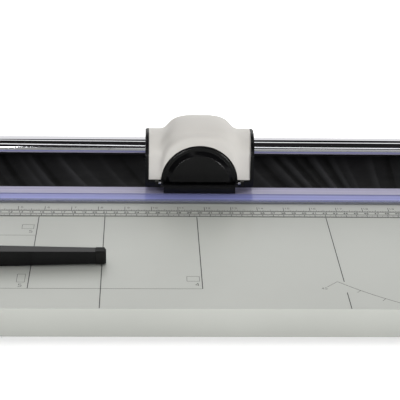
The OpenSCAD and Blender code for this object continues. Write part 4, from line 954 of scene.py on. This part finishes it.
class TRIMMER_OT_springs(bpy.types.Operator):
    """Winds the springs of the paper clamp and of the cutting wheel"""

    bl_idname = "trimmer.springs"
    bl_label = "Springs"

    def execute(self, context):
        low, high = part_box("clamp_springs")
        pins_low, pins_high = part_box("clamp_guide_pins")
        xs = (pins_low.x + PIN_HEAD, pins_high.x - PIN_HEAD)
        ys = (pins_low.y + PIN_HEAD, pins_high.y - PIN_HEAD)
        parts = [coil((x, y, 0), (0, 0, 1), low.z, high.z, **CLAMP_COIL) for x in xs for y in ys]
        piece = add_mesh("clamp_coils", *joined(parts), sharp=50)
        dress(piece, "base", "steel")
        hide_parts("clamp_springs")
        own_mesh(piece)
        low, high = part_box("blade_spring")
        wound = coil((HEAD_X, 0, AXLE.z), (0, 1, 0), low.y, high.y, **WHEEL_COIL)
        piece = add_mesh("wheel_coil", *wound, sharp=50)
        dress(piece, "head", "steel")
        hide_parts("blade_spring")
        return {"FINISHED"}


# Stage

# The floor: its half width, its reach before the machine and its glow
FLOOR_HALF, FLOOR_FRONT, FLOOR_GLOW = 1.5, 0.5, 0.62


def backdrop_material(colours):
    """Pale floor that takes the machine's shadow and shows white to the camera, metal and clear plastic."""
    f = Finish("backdrop", colours, "backdrop", 0.9)
    rays = f.add("LightPath", {})
    mirrored = calc(f.tree, "MAXIMUM", rays["Is Glossy Ray"], rays["Is Transmission Ray"])
    seen = calc(f.tree, "MAXIMUM", rays["Is Camera Ray"], mirrored)
    f.set("Emission Color", (1, 1, 1, 1))
    f.drive("Emission Strength", calc(f.tree, "MULTIPLY", seen, FLOOR_GLOW))
    f.tint(f.noise(3, 2), 0.995, 1.0)
    return f.material


# The room's light by turn, which is the direction's angle about X over half a turn: 0 in front, a half
# overhead and 1 behind. Each row is a turn and a level. The tilt turns it from left to right and the lean
# brightens its right.
ROOM = ((0.0, 0.05), (0.165, 0.05), (0.185, 2.0), (0.24, 2.0), (0.26, 0.03), (0.6, 0.06), (0.655, 0.55),
        (1.0, 0.75))
ROOM_TILT, ROOM_LEAN = 0.28, 0.6
# What metal and clear plastic mirror: the white wall behind, a lamp overhead and one in front, each with the
# tilt by which it turns to the right, as far as the reach
MIRRORED = (
    (-0.4, ((0.0, 0.015), (0.6, 0.015), (0.63, 1.0))),
    (0.2, ((0.425, 0.0), (0.435, 1.4), (0.475, 1.4), (0.485, 0.0))),
    (0.7, ((0.1, 0.0), (0.11, 1.6), (0.145, 1.6), (0.155, 0.0))),
)
MIRRORED_REACH = 0.095


def studio_world():
    """A dim room with a narrow light in front and a bright wall behind, brighter to the right. Metal and
    clear plastic mirror a white wall and two lamps, and the camera sees white."""
    world = bpy.data.worlds.new("studio")
    world.use_nodes = True
    tree = world.node_tree
    toward = add_node(tree, "TexCoord", {}).outputs["Generated"]
    parts = add_node(tree, "SeparateXYZ", {"Vector": toward}).outputs
    side = parts["X"]
    front = calc(tree, "MULTIPLY", parts["Y"], -1)
    turn = calc(tree, "DIVIDE", calc(tree, "ARCTAN2", parts["Z"], front), math.pi)
    room = levels(tree, calc(tree, "MULTIPLY_ADD", side, ROOM_TILT, turn), ROOM)
    reach = calc(tree, "MINIMUM", side, MIRRORED_REACH)
    mirror = 0.0
    for tilt, rows in MIRRORED:
        strip = levels(tree, calc(tree, "MULTIPLY_ADD", reach, tilt, turn), rows)
        mirror = calc(tree, "ADD", strip, mirror)
    rays = add_node(tree, "LightPath", {}).outputs
    mirrored = calc(tree, "MAXIMUM", rays["Is Glossy Ray"], rays["Is Transmission Ray"])
    lean = calc(tree, "MULTIPLY_ADD", side, ROOM_LEAN, 1.0)
    level = calc(tree, "MULTIPLY", room, lean)
    for seen, other in ((mirrored, mirror), (rays["Is Camera Ray"], 1.0)):
        kept = calc(tree, "MULTIPLY", level, calc(tree, "SUBTRACT", 1.0, seen))
        level = calc(tree, "MULTIPLY_ADD", other, seen, kept)
    tree.links.new(level, tree.nodes["Background"].inputs["Strength"])
    tree.nodes["Background"].inputs["Color"].default_value = (1, 1, 1, 1)
    return world


# Lamps: name, place, width, depth and whether gloss shows them. Those that it shows stand below the table's
# plane, so that the table never mirrors them.
LAMPS = (
    ("key", (-0.25, 1.1, 0.9), 2.0, 0.9, False),
    ("top", (-0.1, 0.2, 2.0), 1.6, 1.2, False),
    ("right", (2.4, -4.3, 0.45), 1.6, 0.8, False),
    ("rim", (1.83, -4.6, -0.3), 0.6, 0.5, True),
    ("left", (-0.95, -4.8, -0.3), 0.6, 0.5, True),
)
LAMP_AIM = (0, 0, 0.03)
# Camera: place, and azimuth, elevation and roll in degrees
CAMERA_PLACE = (-0.0608, -1.2078, 0.5785)
CAMERA_ANGLES = (-2.66, 23.89, 1.40)


def soft_lamp(name, place, wide, deep, power, mirrored):
    """A rectangular lamp aimed at the machine; mirrored lamps show in glossy surfaces."""
    lamp = bpy.data.lights.new(name, "AREA")
    lamp.shape = "RECTANGLE"
    lamp.size, lamp.size_y = wide, deep
    lamp.energy = power
    thing = bpy.data.objects.new(name, lamp)
    thing.location = place
    thing.rotation_euler = (Vector(LAMP_AIM) - Vector(place)).to_track_quat("-Z", "Y").to_euler()
    thing.visible_glossy = mirrored
    bpy.context.scene.collection.objects.link(thing)


def photo_camera(lens):
    """The camera fitted to the photograph: its back points along the azimuth and the elevation, and its
    right and up are rolled about it."""
    data = bpy.data.cameras.new("photo_camera")
    data.sensor_width = 36
    data.lens = lens
    data.clip_start, data.clip_end = 0.05, 50
    camera = bpy.data.objects.new("photo_camera", data)
    azimuth, elevation, roll = (math.radians(v) for v in CAMERA_ANGLES)
    back = Vector((math.sin(azimuth) * math.cos(elevation), -math.cos(azimuth) * math.cos(elevation),
                   math.sin(elevation)))
    right = (-back).cross(Vector((0, 0, 1))).normalized()
    up = right.cross(-back)
    tilted_right = math.cos(roll) * right + math.sin(roll) * up
    tilted_up = -math.sin(roll) * right + math.cos(roll) * up
    turn = Matrix((tilted_right, tilted_up, back)).transposed()
    camera.matrix_world = Matrix.Translation(CAMERA_PLACE) @ turn.to_4x4()
    bpy.context.scene.collection.objects.link(camera)
    return camera


class TRIMMER_OT_stage(bpy.types.Operator):
    """Sets the floor, the lamps, the world and the camera"""

    bl_idname = "trimmer.stage"
    bl_label = "Stage"

    def execute(self, context):
        scene = context.scene
        stage = scene.trimmer_stage
        corners = np.array([[-FLOOR_HALF, -FLOOR_FRONT, 0], [FLOOR_HALF, -FLOOR_FRONT, 0],
                            [FLOOR_HALF, FLOOR_HALF, 0], [-FLOOR_HALF, FLOOR_HALF, 0]])
        floor = add_mesh("floor", corners, [np.array([[0, 1, 2, 3]])])
        floor.data.materials.append(backdrop_material(scene.trimmer_colours))
        for name, place, wide, deep, mirrored in LAMPS:
            soft_lamp(f"{name}_lamp", place, wide, deep, getattr(stage, f"{name}_power"), mirrored)
        scene.world = studio_world()
        scene.camera = photo_camera(stage.lens)
        scene.view_settings.view_transform = "Standard"
        return {"FINISHED"}


OPERATORS = (
    TRIMMER_OT_finishes,
    TRIMMER_OT_head_shell,
    TRIMMER_OT_catch_cloth,
    TRIMMER_OT_table_print,
    TRIMMER_OT_scale_print,
    TRIMMER_OT_springs,
    TRIMMER_OT_stage,
)


class TRIMMER_PT_panel(bpy.types.Panel):
    """Lists the trimmer's pieces and their sizes"""

    bl_label = "Rolling trimmer"
    bl_idname = "TRIMMER_PT_panel"
    bl_space_type = "VIEW_3D"
    bl_region_type = "UI"
    bl_category = "Trimmer"

    def draw(self, context):
        for name, group in GROUPS.items():
            box = self.layout.box()
            for key in group.__annotations__:
                box.prop(getattr(context.scene, name), key)
        for operator in OPERATORS:
            self.layout.operator(operator.bl_idname)


def register():
    for name, group in GROUPS.items():
        bpy.utils.register_class(group)
        setattr(bpy.types.Scene, name, PointerProperty(type=group))
    for operator in OPERATORS:
        bpy.utils.register_class(operator)
    bpy.utils.register_class(TRIMMER_PT_panel)


def unregister():
    bpy.utils.unregister_class(TRIMMER_PT_panel)
    for operator in reversed(OPERATORS):
        bpy.utils.unregister_class(operator)
    for name, group in GROUPS.items():
        delattr(bpy.types.Scene, name)
        bpy.utils.unregister_class(group)


def main():
    register()
    for operator in OPERATORS:
        area, name = operator.bl_idname.split(".")
        getattr(getattr(bpy.ops, area), name)()


if __name__ == "__main__":
    main()
